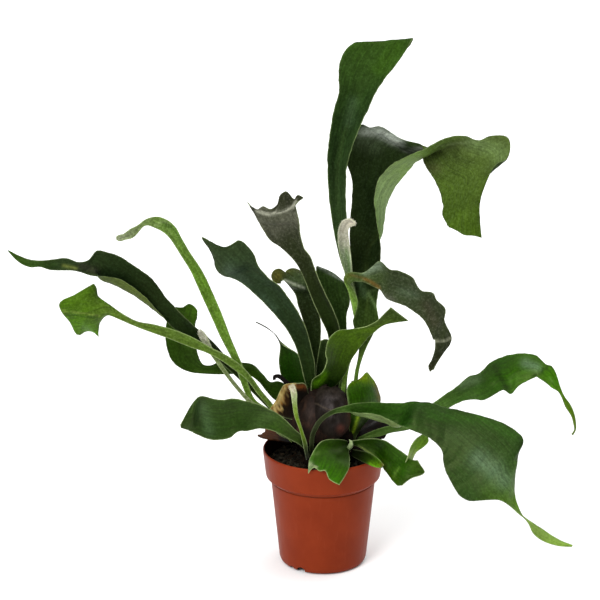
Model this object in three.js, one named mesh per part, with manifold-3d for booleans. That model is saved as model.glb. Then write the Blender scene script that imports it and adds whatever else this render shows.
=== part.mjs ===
// Staghorn fern growing in a plastic nursery pot.
// Millimetres, +Z up, X to the right and -Y to the front. The origin is the centre of the pot's flat base.
import * as THREE from 'three';
import { mergeVertices } from 'three/addons/utils/BufferGeometryUtils.js';
import Module from 'manifold-3d';

const wasm = await Module();
wasm.setup();

// Driving sizes of the pot
const POT_HEIGHT = 118;
const RIM_RADIUS = 59.3;
const BAND_BOTTOM = 90.5;
const BAND_RADIUS = 56.5;
const SHOULDER_BOTTOM = 86.2;
const SHOULDER_RADIUS = 51.5;
const FOOT_RADIUS = 43.2;
const FLAT_BASE_RADIUS = 38.5;
const WALL = 1.6;
const FLOOR = 2.2;
const POT_SEGMENTS = 36;

// Drain notches across the pot's bottom edge, each with a smaller one beside it. NOTCH_SLANT is the
// angle by which they run aslant of the pot's radius.
const NOTCH_COUNT = 3;
const NOTCH_FIRST_ANGLE = -123.5;
const NOTCH_SLANT = 26;
const NOTCH_WIDTH = 8.6;
const NOTCH_HEIGHT = 6;
const NOTCH_DEPTH = 9;
const SMALL_NOTCH_TURN = -16;
const SMALL_NOTCH_WIDTH = 5.4;
const SMALL_NOTCH_HEIGHT = 3.6;

// Soil
const SOIL_EDGE_HEIGHT = 103;
const SOIL_CROWN = 5;
const SOIL_LUMP = 1.6;

// Clearance kept between neighbouring pieces
const GAP = 0.35;
const SLIVER = 0.06;

// Blade proportions
const BLADE_THICKNESS = 1.0;
const STALK_THICKNESS = 2.6;
const THINNEST = 0.7;
const STALK_SECTION = 12;
const BLADE_CUP = 0.12;
const BLADE_STEP = 15;
const NARROW_STALK = 8;
const SOCKET_ROWS = 7;

// The fronds are laid out on a drawing board that leans back through the origin by LEAN degrees.
// A point is [across, up, depth]: where an eye EYE_DISTANCE in front of the board, level with the
// board's point EYE_ACROSS, EYE_UP, sees it on the board, and how far back it really lies (its y).
const LEAN = THREE.MathUtils.degToRad(17.8);
const EYE_DISTANCE = 2100;
const EYE_ACROSS = -22.8;
const EYE_UP = 257;

// Each frond is a list of rows from its root to its tip. A row runs from the left edge of the blade to
// the right edge, as seen on the upper face looking along the frond. Two shield fronds that stand free
// of the rhizome, one green and one torn, are drawn in the same way.
const FRONDS = {
  frond_tall_front: {
    color: 0x2f5a1c,
    rows: [
      [[18, 157, 8], [24, 157, 8]],
      [[21, 192, 8], [27, 192, 8]],
      [[29, 212, 8], [35, 212, 8]],
      [[32, 227, 8], [38, 227, 8]],
      [[32, 242, 8], [38, 242, 8]],
      [[29, 257, 8], [35, 257, 8]],
      [[26, 272, 8], [32, 272, 8]],
      [[18, 295, 9], [27, 295, 8]],
      [[13, 315, 8], [26, 317, 6]],
      [[9, 337, 7], [17, 337, 10], [24, 339, 2]],
      [[6, 362, 7], [15, 362, 11], [23, 362, 0]],
      [[4.5, 392, 8], [15, 391, 14], [24, 389, -2]],
      [[6, 417, 10], [19, 416, 18], [31, 415, 0]],
      [[10, 442, 12], [27, 440, 21], [41, 438, 4]],
      [[16, 467, 13], [36, 465, 22], [55, 468, 8]],
      [[16, 489, 14], [42, 487, 20], [70, 488, 8]],
      [[21, 505, 16], [50, 503, 18], [81, 503, 4]],
      [[32, 514.5, 20], [61, 516, 18], [90, 518.5, 2]],
      [[37, 509, 30], [63, 507, 29], [87, 511, 14]],
      [[38, 495, 34], [49, 501, 35], [59, 493, 34], [67, 501, 31], [73, 498, 26]],
    ],
  },
  frond_tall_back: {
    color: 0x1f3313,
    rows: [
      [[30, 165, 0], [35, 165, -1]],
      [[32, 185, -2], [36, 185, -3]],
      [[35, 199, -4], [40, 200, -5]],
      [[36, 211, -6], [45, 212, -7]],
      [[33, 224, -8], [51, 224, -10]],
      [[30, 236, -8], [43, 236, -5], [56, 237, -12]],
      [[33, 245, -6], [44, 247, -2], [54, 251, -11]],
      [[37.6, 255, -3], [45, 257, 2], [54, 257, -9]],
      [[34.2, 265, 11], [45, 266, 6], [56, 267, -6]],
      [[30.5, 277, 13], [45, 278, 11], [57, 279, -3]],
      [[31, 289, 12], [43, 289, 15], [57, 289, 1]],
      [[27, 309, 12], [48, 309, 18], [57.8, 309, 5]],
      [[27, 322, 13], [58.4, 322, 18], [56.3, 322, 1]],
      [[27, 335, 13], [60, 334, 22], [54, 335, -2]],
      [[29, 357, 15], [64, 356, 26], [51.5, 356, -8]],
      [[29, 377, 16], [74, 374, 27], [55.5, 377, -14]],
      [[23, 399, 22], [85, 387, 24], [65, 389, -20]],
      [[24, 421, 26], [92, 396, 18], [75, 396, -26]],
      [[40, 433, 25], [95, 398, 15], [83, 400, -27]],
      [[46.5, 429.6, 24], [97, 399, 12], [89, 403, -28]],
      [[56, 431, 19], [98.5, 400, 9], [95, 405.5, -29]],
      [[75, 420, 16], [101, 402, 6], [103, 408.5, -30]],
      [[99, 411, 6], [117, 407, -8], [122, 417, -30]],
      [[101, 394, -6], [133, 407, -22], [142, 421, -34]],
      [[111, 379, -18], [145, 399, -34], [162, 420, -38]],
      [[117, 365, -28], [149, 385, -44], [184, 420, -44]],
      [[120, 354, -36], [147, 367, -52], [186, 404, -52]],
      [[121, 342, -44], [143, 352, -58], [169, 383, -58]],
      [[124, 333, -52], [142, 339, -64], [158, 355, -62]],
      [[126, 330, -56], [134, 326, -62], [141, 322, -66], [151, 321, -68], [159, 319, -66]],
    ],
  },
  frond_white_young: {
    color: 0x8fae74,
    cup: 0.35,
    columns: 3,
    rows: [
      [[15, 160, 2], [20, 160, 2]],
      [[20, 192, 3], [25, 192, 3]],
      [[27, 212, 3], [32, 212, 3]],
      [[31, 225, 3], [36, 225, 3]],
      [[32, 235, 3], [37, 235, 3]],
      [[30, 245, 3], [35, 247, 2]],
      [[27, 259, 2], [34, 260, 1]],
      [[24, 273, 2], [30, 274, 1]],
      [[21, 287, 1], [29.5, 287, 0]],
      [[17, 302, -1], [28, 302, -2]],
      [[15, 317, -4], [26, 317, -5]],
      [[16, 329, -8], [25, 325, -10]],
      [[20, 336.5, -12], [26, 329, -15]],
      [[27, 338.5, -16], [29, 331, -19]],
      [[32, 335, -20], [32, 332, -22]],
    ],
  },
  frond_cup: {
    color: 0x424636,
    rows: [
      [[5, 158, -2], [11, 158, -2]],
      [[7, 185, -3], [14, 185, -3]],
      [[7, 205, -4], [17, 205, -5]],
      [[4, 225, -6], [17, 229, -8]],
      [[-3, 240, -8], [12, 244, -10]],
      [[-11, 258, -10], [6, 257, -13]],
      [[-18, 276, -11], [-3, 276, -14]],
      [[-25, 291, -12], [-8, 289, -15]],
      [[-33, 301, -12], [-12, 300, -16]],
      [[-43, 310, -12], [-19, 310, -17]],
      [[-53, 317, -13], [-22, 321, -18]],
      [[-61, 329, -14], [-23, 332, -19]],
      [[-67, 340, -14], [-46, 335, -22], [-25, 343, -18]],
      [[-73, 350, -12], [-61, 345.5, -19], [-48, 343.5, -22], [-36, 346.5, -21], [-27.5, 353, -14]],
      [[-73, 351, -6], [-61, 343, -9], [-48, 340, -10], [-36, 344, -9], [-26, 354, -6]],
      [[-76, 357, -4], [-66, 347, -3], [-60, 351, -2], [-52, 348, -1], [-45, 353, 1],
        [-42, 363, 3], [-37, 366, 4], [-28, 358, 3], [-25, 362, 2], [-19, 359, 2]],
    ],
  },
  frond_left_strap: {
    color: 0x35492f,
    rows: [
      [[-9, 156, -7], [-3, 156, -7]],
      [[-16, 177, -10], [-7, 179, -9]],
      [[-22, 195, -12], [-8, 195, -11]],
      [[-28, 212, -14], [-12, 212, -14]],
      [[-36, 227, -17], [-16, 227, -17]],
      [[-48, 242, -20], [-24, 244, -20]],
      [[-61, 256, -23], [-34, 259, -23]],
      [[-74, 268, -26], [-43, 271, -26]],
      [[-83, 275, -29], [-55, 280, -29]],
      [[-92, 279, -32], [-63, 289, -32]],
      [[-101, 281.5, -34], [-83, 292, -40], [-69, 303, -34]],
      [[-107, 289, -36], [-98, 301, -43], [-78, 314, -38]],
      [[-108.5, 295, -36], [-112, 305, -42], [-121, 320, -50], [-98, 310, -44], [-85, 317, -40]],
    ],
  },
  frond_curled_behind: {
    color: 0x22381a,
    columns: 9,
    rows: [
      [[-9, 157, 4], [-3, 157, 4]],
      [[-10, 192, 5], [-2, 192, 5]],
      [[-14, 217, 6], [-2, 217, 6]],
      [[-20, 237, 7], [-2, 235, 7]],
      [[-25, 252, 7], [-6, 252, 6]],
      [[-28, 263, 6], [-11, 264, 4]],
      [[-38, 276, 5], [-26, 271, -1], [-16, 272, 2]],
      [[-40, 277, 8], [-28, 277, 6], [-16, 278, 7]],
      [[-42, 273.5, 12], [-48, 274.5, 12], [-51.7, 280, 13], [-49.5, 286.3, 13], [-44.5, 288.6, 13],
        [-40, 286, 14], [-38.7, 281, 14], [-37, 286, 15], [-33, 288.5, 16], [-26, 288, 18],
        [-20, 284, 17], [-16, 275, 15]],
    ],
  },
  frond_broad_dark: {
    color: 0x1d3510,
    rows: [
      [[11, 157, 10], [17, 157, 10]],
      [[12, 185, 12], [22, 185, 12]],
      [[10, 205, 13], [23, 207, 13]],
      [[6, 225, 14], [24, 227, 14]],
      [[2, 242, 15], [24, 242, 15]],
      [[-2, 257, 15], [27, 254, 13]],
      [[-5, 272, 14], [12, 265, 17], [27, 264, 13]],
      [[-6, 291, 12], [10, 284, 9], [24, 272, 12]],
      [[-2, 287, 20], [10, 280, 15], [23, 268, 17]],
      [[-1, 281, 24], [11, 274, 20], [22, 263, 19]],
    ],
  },
  frond_right_drooping: {
    color: 0x4b5638,
    rows: [
      [[17, 158, -4], [22, 158, -4]],
      [[22, 192, -3], [27, 192, -3]],
      [[28, 212, -3], [33, 212, -3]],
      [[31, 227, -2], [36, 227, -2]],
      [[31, 242, -2], [36, 242, -2]],
      [[28, 257, -3], [35, 257, -3]],
      [[24, 269, -4], [30.5, 269, -4]],
      [[20.5, 278, -5], [28, 273, -6]],
      [[24, 284, -7], [32, 275.5, -8]],
      [[31, 285, -9], [35, 275, -10]],
      [[39, 284, -12], [40, 275, -13]],
      [[49, 290, -15], [49, 271, -16]],
      [[57, 296, -18], [58, 282, -14], [57, 267, -20]],
      [[67, 288, -22], [64, 273, -18], [63, 259, -25]],
      [[77, 286, -26], [73, 271, -23], [70, 255, -30]],
      [[89, 280, -31], [84, 266, -28], [80, 252, -36]],
      [[98, 267, -36], [93, 258, -34], [90, 246, -41]],
      [[110, 264.5, -42], [103, 252, -40], [98, 240, -46]],
      [[114, 257, -47], [109, 244, -47], [104, 232, -51]],
      [[123, 247, -54], [116, 235, -52], [108, 223, -56]],
      [[121.5, 238, -57], [117, 228, -58], [110, 218, -60]],
      [[129, 219, -62], [121, 216, -66], [112, 216, -66]],
      [[127, 212, -63], [120, 210, -65], [112, 208, -65]],
      [[124, 208, -63], [117, 204, -64], [109, 198, -64]],
      [[115, 195, -65], [105.5, 190, -65]],
      [[111, 188, -66], [107, 185, -66]],
    ],
  },
  frond_bright_short: {
    color: 0x4c7a1a,
    rows: [
      [[-10, 155, -15], [-1, 154, -12], [7, 154, -10]],
      [[-12, 170, -18], [-1, 169, -12], [11, 169, -9]],
      [[-10, 178, -21], [5, 177, -13], [18, 177, -8]],
      [[-1, 184, -24], [9, 186, -13], [24, 186, -8]],
      [[4, 196, -25], [12, 196, -14], [28, 196, -9]],
      [[2.5, 205, -25], [14, 206, -15], [34, 205, -11]],
      [[5, 216, -24], [19, 215, -16], [40, 213, -13]],
      [[14, 226, -20], [27, 222, -16], [46, 220, -15]],
      [[28, 228, -18], [38, 226, -18], [51, 224, -18]],
      [[43, 230.5, -19], [57, 229, -19]],
      [[53, 235.5, -21], [62, 232, -21]],
      [[60, 242, -24], [71, 234, -24]],
      [[68, 250, -26], [77, 243, -26], [86, 236, -26]],
    ],
  },
  frond_short_dark: {
    color: 0x1c2f12,
    rows: [
      [[-6, 157, 1], [0, 157, 1]],
      [[-7, 179, 1], [5, 179, 1]],
      [[-6, 195, 1], [8, 195, 1]],
      [[-4, 207, 1], [8, 207, 1]],
      [[-2.5, 216, 0], [3, 218, 1], [8, 216, 2]],
    ],
  },
  frond_pointed: {
    color: 0x2f5a10,
    rows: [
      [[-20, 153, 2], [-14, 153, 2]],
      [[-27, 163, 2], [-20, 163, 2]],
      [[-37, 173, 3], [-20, 175, 2]],
      [[-42.5, 184, 4], [-20, 187, 1]],
      [[-44, 197, 4], [-22, 197, 0]],
      [[-43, 207, 4], [-26, 204, 0]],
      [[-43, 212, 3], [-34, 208.5, 1]],
      [[-44, 215.5, 2], [-41, 213, 1]],
      [[-48, 222, 1], [-46, 221, 1]],
      [[-53, 227.5, 0], [-52, 226, 0]],
      [[-67, 235.6, -3], [-67, 234.4, -3]],
    ],
  },
  frond_left_arching: {
    color: 0x6b9434,
    rows: [
      [[-30, 119, -2], [-27, 122, -2]],
      [[-40, 129, -4], [-37, 132, -4]],
      [[-55, 142, -6], [-51, 146, -6]],
      [[-73, 155, -8], [-68, 158, -8]],
      [[-81, 172, -8], [-75, 175, -8]],
      [[-87, 189, -8], [-80, 191, -8]],
      [[-93, 202, -8], [-85, 203, -8]],
      [[-101, 217, -8], [-91, 217, -8]],
      [[-111, 239, -8], [-100, 241, -8]],
      [[-122, 263, -8], [-109, 262, -8]],
      [[-133, 287, -8], [-121, 287, -8]],
      [[-143, 303, -8], [-133, 305, -8]],
      [[-152, 317, -9], [-140, 317, -7]],
      [[-160, 325, -11], [-148, 331, -6]],
      [[-168, 329, -13], [-157, 338, -6]],
      [[-175, 331.5, -14], [-167, 340.5, -8]],
      [[-180, 330, -15], [-177, 338, -11]],
      [[-184, 325, -16], [-185, 332, -14]],
      [[-190, 319, -17], [-193, 328, -15]],
      [[-198, 317, -18], [-200, 323, -16]],
      [[-204, 315.7, -19], [-204.7, 322, -17]],
      [[-206.4, 317.6, -19], [-206.7, 320.3, -18]],
    ],
  },
  frond_left_longest: {
    color: 0x263e1c,
    rows: [
      [[-25, 122, 3], [-22, 126, 3]],
      [[-36, 133, 2], [-33, 137, 2]],
      [[-55, 149, 1], [-52, 152, 1]],
      [[-66, 160, 0], [-63, 163, 0]],
      [[-77, 171, -1], [-73, 175, -1]],
      [[-94, 187, -2], [-89, 191, -2]],
      [[-111, 202, -3], [-104, 209, -3]],
      [[-125, 213, -5], [-116, 221, -5]],
      [[-139, 223, -8], [-126, 229, -7]],
      [[-151, 230, -11], [-136, 238, -10]],
      [[-160, 240, -15], [-157, 239, -10], [-146, 248, -12]],
      [[-171, 253, -20], [-166, 245, -13], [-157, 260, -14]],
      [[-181, 263, -24], [-179, 255, -16], [-167, 274, -16]],
      [[-193, 272, -27], [-193, 264, -19], [-175, 282, -18]],
      [[-203, 278, -29], [-208, 272, -21], [-188, 291, -20]],
      [[-215, 280, -30], [-222, 277.5, -24], [-201, 299.5, -22]],
      [[-226, 280.5, -29], [-228, 287, -26], [-214, 304.5, -24]],
      [[-235, 282, -28], [-226, 306.5, -26]],
      [[-240, 284, -28], [-233, 298, -27]],
      [[-248, 286, -29], [-243, 295, -28]],
      [[-261, 286.5, -30], [-257, 299, -29]],
      [[-273, 287, -31], [-271, 297.5, -31]],
      [[-283, 290, -33], [-283, 296.5, -33]],
      [[-292, 289.5, -35], [-293, 297.5, -36]],
      [[-303, 294, -38], [-304, 301.5, -39]],
      [[-315, 306, -42], [-314.5, 307, -42]],
    ],
  },
  frond_left_flag: {
    color: 0x6a9136,
    rows: [
      [[-31, 114, -12], [-28, 117, -12]],
      [[-41, 125, -12], [-37, 128, -12]],
      [[-53, 148, -14], [-49, 151.5, -14]],
      [[-66, 164, -15], [-61, 166, -15]],
      [[-76, 177, -16], [-71, 180, -16]],
      [[-87, 186, -16], [-81, 191, -16]],
      [[-101, 196, -16], [-95, 201, -16]],
      [[-116, 204, -16], [-111, 209, -16]],
      [[-133, 210, -16], [-126, 217.5, -16]],
      [[-153, 218, -16], [-145, 226, -16]],
      [[-173, 225, -17], [-168, 232.5, -16]],
      [[-190, 231.5, -18], [-186, 236, -17]],
      [[-205, 238, -19], [-201, 244, -18]],
      [[-216, 241.5, -20], [-214, 246, -23], [-213, 252.5, -19]],
      [[-223, 234, -17], [-224, 246, -26], [-225, 261.5, -20]],
      [[-224, 226, -14], [-237, 244, -31], [-230, 269, -21]],
      [[-225, 220, -12], [-242, 222, -18], [-258, 239, -28], [-264.5, 250, -33],
        [-263, 253, -32], [-248, 262.5, -27], [-232, 273.5, -22]],
    ],
  },
  frond_left_upturned: {
    color: 0x2a4514,
    rows: [
      [[-20, 139, 11], [-19, 149, 11]],
      [[-31, 147, 12], [-29, 157, 12]],
      [[-40, 155, 12], [-39, 163, 14], [-38, 173, 12]],
      [[-48, 157, 13], [-45, 176, 13]],
      [[-55, 164, 15], [-52, 175, 15]],
      [[-64, 175, 17], [-60, 183, 17]],
      [[-74, 182, 19], [-70, 192.5, 19]],
      [[-85, 183, 21], [-83, 195, 21]],
      [[-101, 182.5, 23], [-101, 197, 23]],
      [[-116, 183, 25], [-111, 192, 25]],
      [[-131, 184.5, 27], [-120, 193, 27]],
      [[-143, 189, 28], [-125, 203, 28]],
      [[-152, 198, 29], [-127, 214, 28]],
      [[-156.5, 212, 30], [-128, 225, 28]],
      [[-157.5, 227, 30], [-127.5, 231, 27]],
      [[-155, 239, 29], [-142, 241, 32], [-126, 239, 26]],
      [[-147, 250, 27], [-140, 249.5, 28], [-133, 253, 28], [-129, 251, 27], [-125, 246, 25]],
    ],
  },
  frond_low_left: {
    color: 0x3d6328,
    rows: [
      [[-11, 97, -22], [-10, 101, -22]],
      [[-14, 102, -28], [-12.5, 107, -28]],
      [[-18, 107, -33], [-15.5, 112.5, -33]],
      [[-23, 112, -37], [-19, 120, -37]],
      [[-33, 117.5, -40], [-27, 127, -39.5]],
      [[-43, 123, -43], [-35, 135, -42]],
      [[-53, 127, -46], [-43, 142, -43]],
      [[-63, 128.3, -49], [-53, 148, -46]],
      [[-75, 126, -52], [-65, 153, -49]],
      [[-85, 125, -55], [-78, 156.5, -52]],
      [[-93, 119, -58], [-91, 158.5, -54]],
      [[-103, 117, -61], [-102, 157.5, -57]],
      [[-115, 117.8, -64], [-111, 158.5, -60]],
      [[-125, 122, -66], [-120, 161, -63]],
      [[-133, 126, -68], [-131, 140, -72], [-127, 158, -66]],
      [[-139, 128, -70], [-137, 135, -71], [-134, 148, -68]],
      [[-142, 129, -71], [-142.5, 132, -71]],
    ],
  },
  frond_crozier: {
    color: 0x9db878,
    columns: 3,
    rows: [
      [[-16.5, 97, -31], [-13.5, 97, -31]],
      [[-18, 104, -38], [-14.5, 104, -38]],
      [[-20.3, 114, -42.5], [-15.8, 114, -42.5]],
      [[-23.5, 127, -44], [-20, 127, -44]],
      [[-28.8, 142, -43], [-24.3, 142, -43]],
      [[-30.8, 155, -41], [-25.8, 155, -41]],
      [[-32.3, 165, -39], [-26, 165, -39]],
      [[-34, 170.5, -35], [-28.5, 172.5, -34]],
      [[-33.5, 167.5, -30], [-30.5, 169.5, -29]],
    ],
  },
  frond_young_bud: {
    color: 0xbfc4a8,
    columns: 3,
    rows: [
      [[-27, 115, -5], [-25, 118, -5]],
      [[-45, 123, -8], [-42, 126, -8]],
      [[-57, 140, -11], [-54, 143, -11]],
      [[-76, 155.5, -13], [-72.5, 158, -13]],
      [[-87, 168, -12], [-83.5, 170, -12]],
      [[-98, 182, -11], [-94.5, 184, -11]],
      [[-108, 196, -10], [-104, 198, -10]],
      [[-117, 209, -10], [-111.5, 211, -10]],
      [[-122.5, 218, -10], [-115.5, 220, -10]],
      [[-125, 224, -10], [-119, 225, -10]],
      [[-124.5, 227, -10], [-122, 227.5, -10]],
    ],
  },
  shield_green: {
    color: 0x3d6b14,
    columns: 5,
    rows: [
      [[24, 106, -14], [26.5, 106, -13.2], [29, 106, -13]],
      [[25, 113, -14], [28, 113.5, -12.8], [31, 114, -12]],
      [[26, 123, -14], [31, 123, -13], [36, 125, -8]],
      [[26, 133, -18], [33, 133, -18], [44, 136, -6]],
      [[26, 145, -24], [37, 145, -22], [53, 147, -4]],
      [[25, 156, -27], [39, 156, -23], [58, 157, -2]],
      [[23.5, 166, -23], [38, 167, -20], [56, 166, 0]],
      [[26.5, 173, -15], [38, 176, -13], [52, 175, 0]],
      [[30, 176, -12], [37, 177.5, -10], [44, 185, -6], [47, 182, -3], [50, 178, 0]],
    ],
  },
  shield_torn: {
    color: 0x8a6238,
    columns: 5,
    rows: [
      [[-18, 140, -23], [-14, 162, -18]],
      [[-25, 137, -25], [-17.5, 173, -20]],
      [[-38, 139, -26], [-25, 174, -21]],
      [[-53, 148.5, -24], [-46.8, 157, -23], [-42.8, 166, -21], [-38, 172.7, -20], [-33, 173.5, -20]],
    ],
  },
  frond_right_longest: {
    color: 0x365c26,
    rows: [
      [[-12, 94, -29], [-9, 94, -29]],
      [[-13, 102, -33], [-9.5, 102, -33]],
      [[-13.5, 111, -39], [-9, 110, -39]],
      [[-13, 120, -41], [-8.5, 119, -41]],
      [[-10, 129, -46], [-5.5, 127, -46]],
      [[-5, 137, -50], [-1, 134.5, -51]],
      [[2, 143, -54], [5, 139.5, -55]],
      [[11, 148, -57], [13, 143.5, -59]],
      [[22, 151.5, -59], [23, 144.5, -62]],
      [[34, 154, -60], [33, 142, -62], [35, 144.5, -68]],
      [[47, 155, -61], [46, 139, -65], [48, 143.5, -73]],
      [[61, 154.5, -62], [60, 135, -68], [61, 140, -78]],
      [[76, 154, -64], [75, 130, -73], [73, 134, -83]],
      [[92, 155.5, -67], [91, 142, -80], [89, 126.5, -88]],
      [[109, 154, -71], [103, 137, -84], [101, 122, -93]],
      [[124, 149.5, -75], [117, 130, -90], [113, 114, -98]],
      [[140, 146, -80], [129, 121, -96], [119.5, 105, -103]],
      [[158, 141.5, -86], [141, 112, -103], [120.5, 94, -108]],
      [[177, 135.5, -92], [153, 101, -110], [124, 83, -113]],
      [[194, 125.5, -98], [165, 91, -116], [130, 72, -118]],
      [[201, 116, -103], [171, 82, -121], [137, 61, -123]],
      [[196, 104, -107], [174, 74, -125], [147, 56, -127]],
      [[194, 91, -111], [179, 69, -127], [160, 56.5, -129]],
      [[191.5, 75, -116], [184, 63, -128], [175, 57, -131]],
      [[193, 59, -121], [187, 51, -132]],
      [[197, 47, -126], [195, 44.5, -133]],
      [[200, 40.5, -130], [200.5, 41, -132]],
      [[205, 34, -134], [207, 36.2, -132]],
      [[211, 22.5, -138], [219, 28.5, -133]],
      [[222, 15, -141], [230, 21, -135]],
      [[235, 11, -143], [240, 15.5, -138]],
      [[249, 10, -144], [250, 12, -143]],
    ],
  },
  frond_right_upper: {
    color: 0x3e6b22,
    rows: [
      [[14, 105, -5], [16, 101, -5]],
      [[23, 111, -5], [25, 107, -5]],
      [[31, 117, -5], [33, 114, -6]],
      [[41, 122.5, -6], [44, 118, -8]],
      [[53, 127.5, -5], [55, 120, -8]],
      [[67, 131.5, -2], [68, 124, -5]],
      [[81, 135, 3], [85, 127, 0]],
      [[96, 143, 8], [105, 134, 6]],
      [[110, 154, 14], [125, 148, 11]],
      [[123, 163, 18], [132, 158, 20], [137, 155, 14]],
      [[136, 172, 22], [144, 166, 25], [150, 157.5, 17]],
      [[147, 181.5, 25], [156, 172, 29], [162, 157, 20]],
      [[157, 184, 27], [166, 174, 32], [174, 164, 23]],
      [[167, 194, 29], [174, 180, 34], [181, 167, 25]],
      [[179, 200, 31], [184, 183, 36], [188, 162.5, 24]],
      [[190, 203, 32], [193, 187, 36], [196, 171, 27]],
      [[202, 203.8, 32], [203, 190, 35], [205, 176, 29]],
      [[214, 201, 31], [212, 191, 33], [213, 180, 28]],
      [[223, 193, 28], [220, 187, 30], [216, 178.5, 26]],
      [[229, 191, 26], [226, 182, 29], [223, 174, 24]],
      [[234, 182, 24], [229, 169, 22]],
      [[237, 172, 22], [235, 165.5, 21]],
      [[241, 162, 20], [238.5, 160, 20]],
      [[248, 152, 18], [242.5, 150, 18]],
      [[252, 142, 16], [248, 141.5, 16]],
      [[253.5, 132, 14], [250.5, 135, 14]],
      [[252.8, 126, 12], [251.3, 127, 12]],
      [[250, 121.5, 10], [248.5, 123, 10]],
    ],
  },
  frond_over_rim: {
    color: 0x3d6b22,
    rows: [
      [[28, 110, -23], [25, 116, -23]],
      [[26, 105, -34], [15, 118, -34]],
      [[27, 98.5, -46], [-1, 116, -42]],
      [[26, 88, -58], [10, 96, -54], [-12, 101, -48]],
      [[16, 72, -68], [7, 77, -67], [-1, 88, -64], [-10, 88, -62], [-15, 85, -62]],
    ],
  },
  frond_right_low: {
    color: 0x2c5410,
    rows: [
      [[15, 114, -14], [15, 108, -14]],
      [[24, 116, -18], [24, 110, -18]],
      [[32, 117, -24], [32, 111, -24]],
      [[45, 118.5, -31], [42, 106, -30]],
      [[57, 118, -38], [51, 98.5, -36]],
      [[67, 114, -45], [63, 102, -47], [59, 90, -43]],
      [[76, 107.5, -52], [71, 96, -54], [65, 83, -50]],
      [[84, 102, -58], [77, 90, -61], [69, 77, -57]],
      [[88, 98, -64], [81, 85, -68], [74, 72, -66]],
      [[95, 97, -70], [98, 92, -71], [102, 85, -72], [89, 79, -74], [79, 72, -72]],
    ],
    second_tine: [
      [[81, 91, -62], [90, 97, -60]],
      [[85, 101, -65], [94, 105, -63]],
      [[88, 111, -68], [101, 110, -66]],
      [[94, 119, -68], [106, 116, -67]],
      [[100, 123, -67], [105, 121, -67]],
    ],
  },
  frond_under_leaf: {
    color: 0x4c7a1a,
    rows: [
      [[16, 107, -14], [15, 102, -14]],
      [[25, 108, -20], [24, 103, -20]],
      [[35, 107, -33], [32, 99, -33]],
      [[47, 104, -46], [42, 94, -46]],
      [[56, 98, -54], [51, 90, -54]],
      [[61, 92, -60], [58, 89, -59]],
    ],
  },
};

// Rhizome: one core with knobs where the fronds rise from it
const RHIZOME_LOBES = [
  { center: [4, 6, 138], radii: [34, 30, 44] },
  { center: [-11, -23, 113], radii: [9, 8, 9] },
  { center: [26, -17, 121], radii: [11, 10, 13] },
  { center: [-26, -4, 141], radii: [14, 12, 12] },
  { center: [31, 0, 176], radii: [7, 7, 13] },
];

// Shield fronds: thin plates wrapped round the rhizome. Angles are in degrees, round +Z from +X and
// up from level.
const SHIELDS = {
  shield_dome: {
    color: 0x4a3f3e,
    center: [7, -14, 160],
    radii: [20, 28, 27],
    turn: [150, 350],
    rise: [-52, 80],
    columns: 13,
    rows: 8,
    ruffle: 0.02,
  },
  shield_left: {
    color: 0x2b1f18,
    center: [-2, -2, 140],
    radii: [40, 36, 46],
    turn: [172, 290],
    rise: [-5, 72],
    columns: 12,
    rows: 8,
    ruffle: 0.035,
  },
};
const SHIELD_THICKNESS = 1.3;

// Old shield: a ragged dead plate that spreads behind the rhizome, over the pot's rim. Its edge is
// lifted on one side, highest at liftTurn degrees round +Z from +X and fading over liftReach degrees.
const SKIRT = {
  color: 0x33241a,
  turn: [-10, 190],
  innerRadius: 31,
  outerRadius: 64,
  innerHeight: 124,
  outerHeight: 131,
  liftTurn: 12,
  liftReach: 20,
  liftHeight: 8,
  ragged: 4,
  columns: 25,
  rows: 4,
};

function place([across, up, depth]) {
  const sine = Math.sin(LEAN);
  const cosine = Math.cos(LEAN);
  const eye = new THREE.Vector3(
    EYE_ACROSS,
    EYE_UP * sine - EYE_DISTANCE * cosine,
    EYE_UP * cosine + EYE_DISTANCE * sine,
  );
  const seen = new THREE.Vector3(across, up * sine, up * cosine);
  return eye.clone().lerp(seen, (depth - eye.y) / (seen.y - eye.y));
}

// Smooth curve through points at the given knots
function slopeAt(points, knots, i) {
  const last = points.length - 1;
  const chord = (k) => points[k + 1].clone().sub(points[k]).divideScalar(knots[k + 1] - knots[k]);
  if (last === 1) return chord(0);
  if (i === 0 || i === last) {
    const [nearest, inner] = i === 0 ? [0, 1] : [last - 1, last - 1];
    return chord(nearest).multiplyScalar(1.5).addScaledVector(slopeAt(points, knots, inner), -0.5);
  }
  const before = knots[i] - knots[i - 1];
  const after = knots[i + 1] - knots[i];
  return chord(i - 1).multiplyScalar(after).addScaledVector(chord(i), before).divideScalar(before + after);
}

function curvePoint(points, knots, i, t) {
  const span = knots[i + 1] - knots[i];
  const t2 = t * t;
  const t3 = t2 * t;
  return points[i].clone().multiplyScalar(2 * t3 - 3 * t2 + 1)
    .addScaledVector(slopeAt(points, knots, i), span * (t3 - 2 * t2 + t))
    .addScaledVector(points[i + 1], 3 * t2 - 2 * t3)
    .addScaledVector(slopeAt(points, knots, i + 1), span * (t3 - t2));
}

function middleOf(row) {
  return row[0].clone().add(row[row.length - 1]).multiplyScalar(0.5);
}

// A row's points spread over the given number of columns. A row of two points gets a sunken middle.
function spreadRow(row, along, cup, columns) {
  const points = row.map((point) => point.clone());
  if (points.length === 2) {
    const across = points[1].clone().sub(points[0]);
    const upper = across.clone().cross(along).normalize();
    points.splice(1, 0, middleOf(row).addScaledVector(upper, -cup * across.length()));
  }
  const knots = [0];
  for (let i = 1; i < points.length; i += 1) {
    knots.push(knots[i - 1] + points[i].distanceTo(points[i - 1]));
  }
  const spread = [];
  for (let c = 0; c < columns; c += 1) {
    const position = c / (columns - 1) * (points.length - 1);
    const i = Math.min(Math.floor(position), points.length - 2);
    spread.push(curvePoint(points, knots, i, position - i));
  }
  return spread;
}

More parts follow.
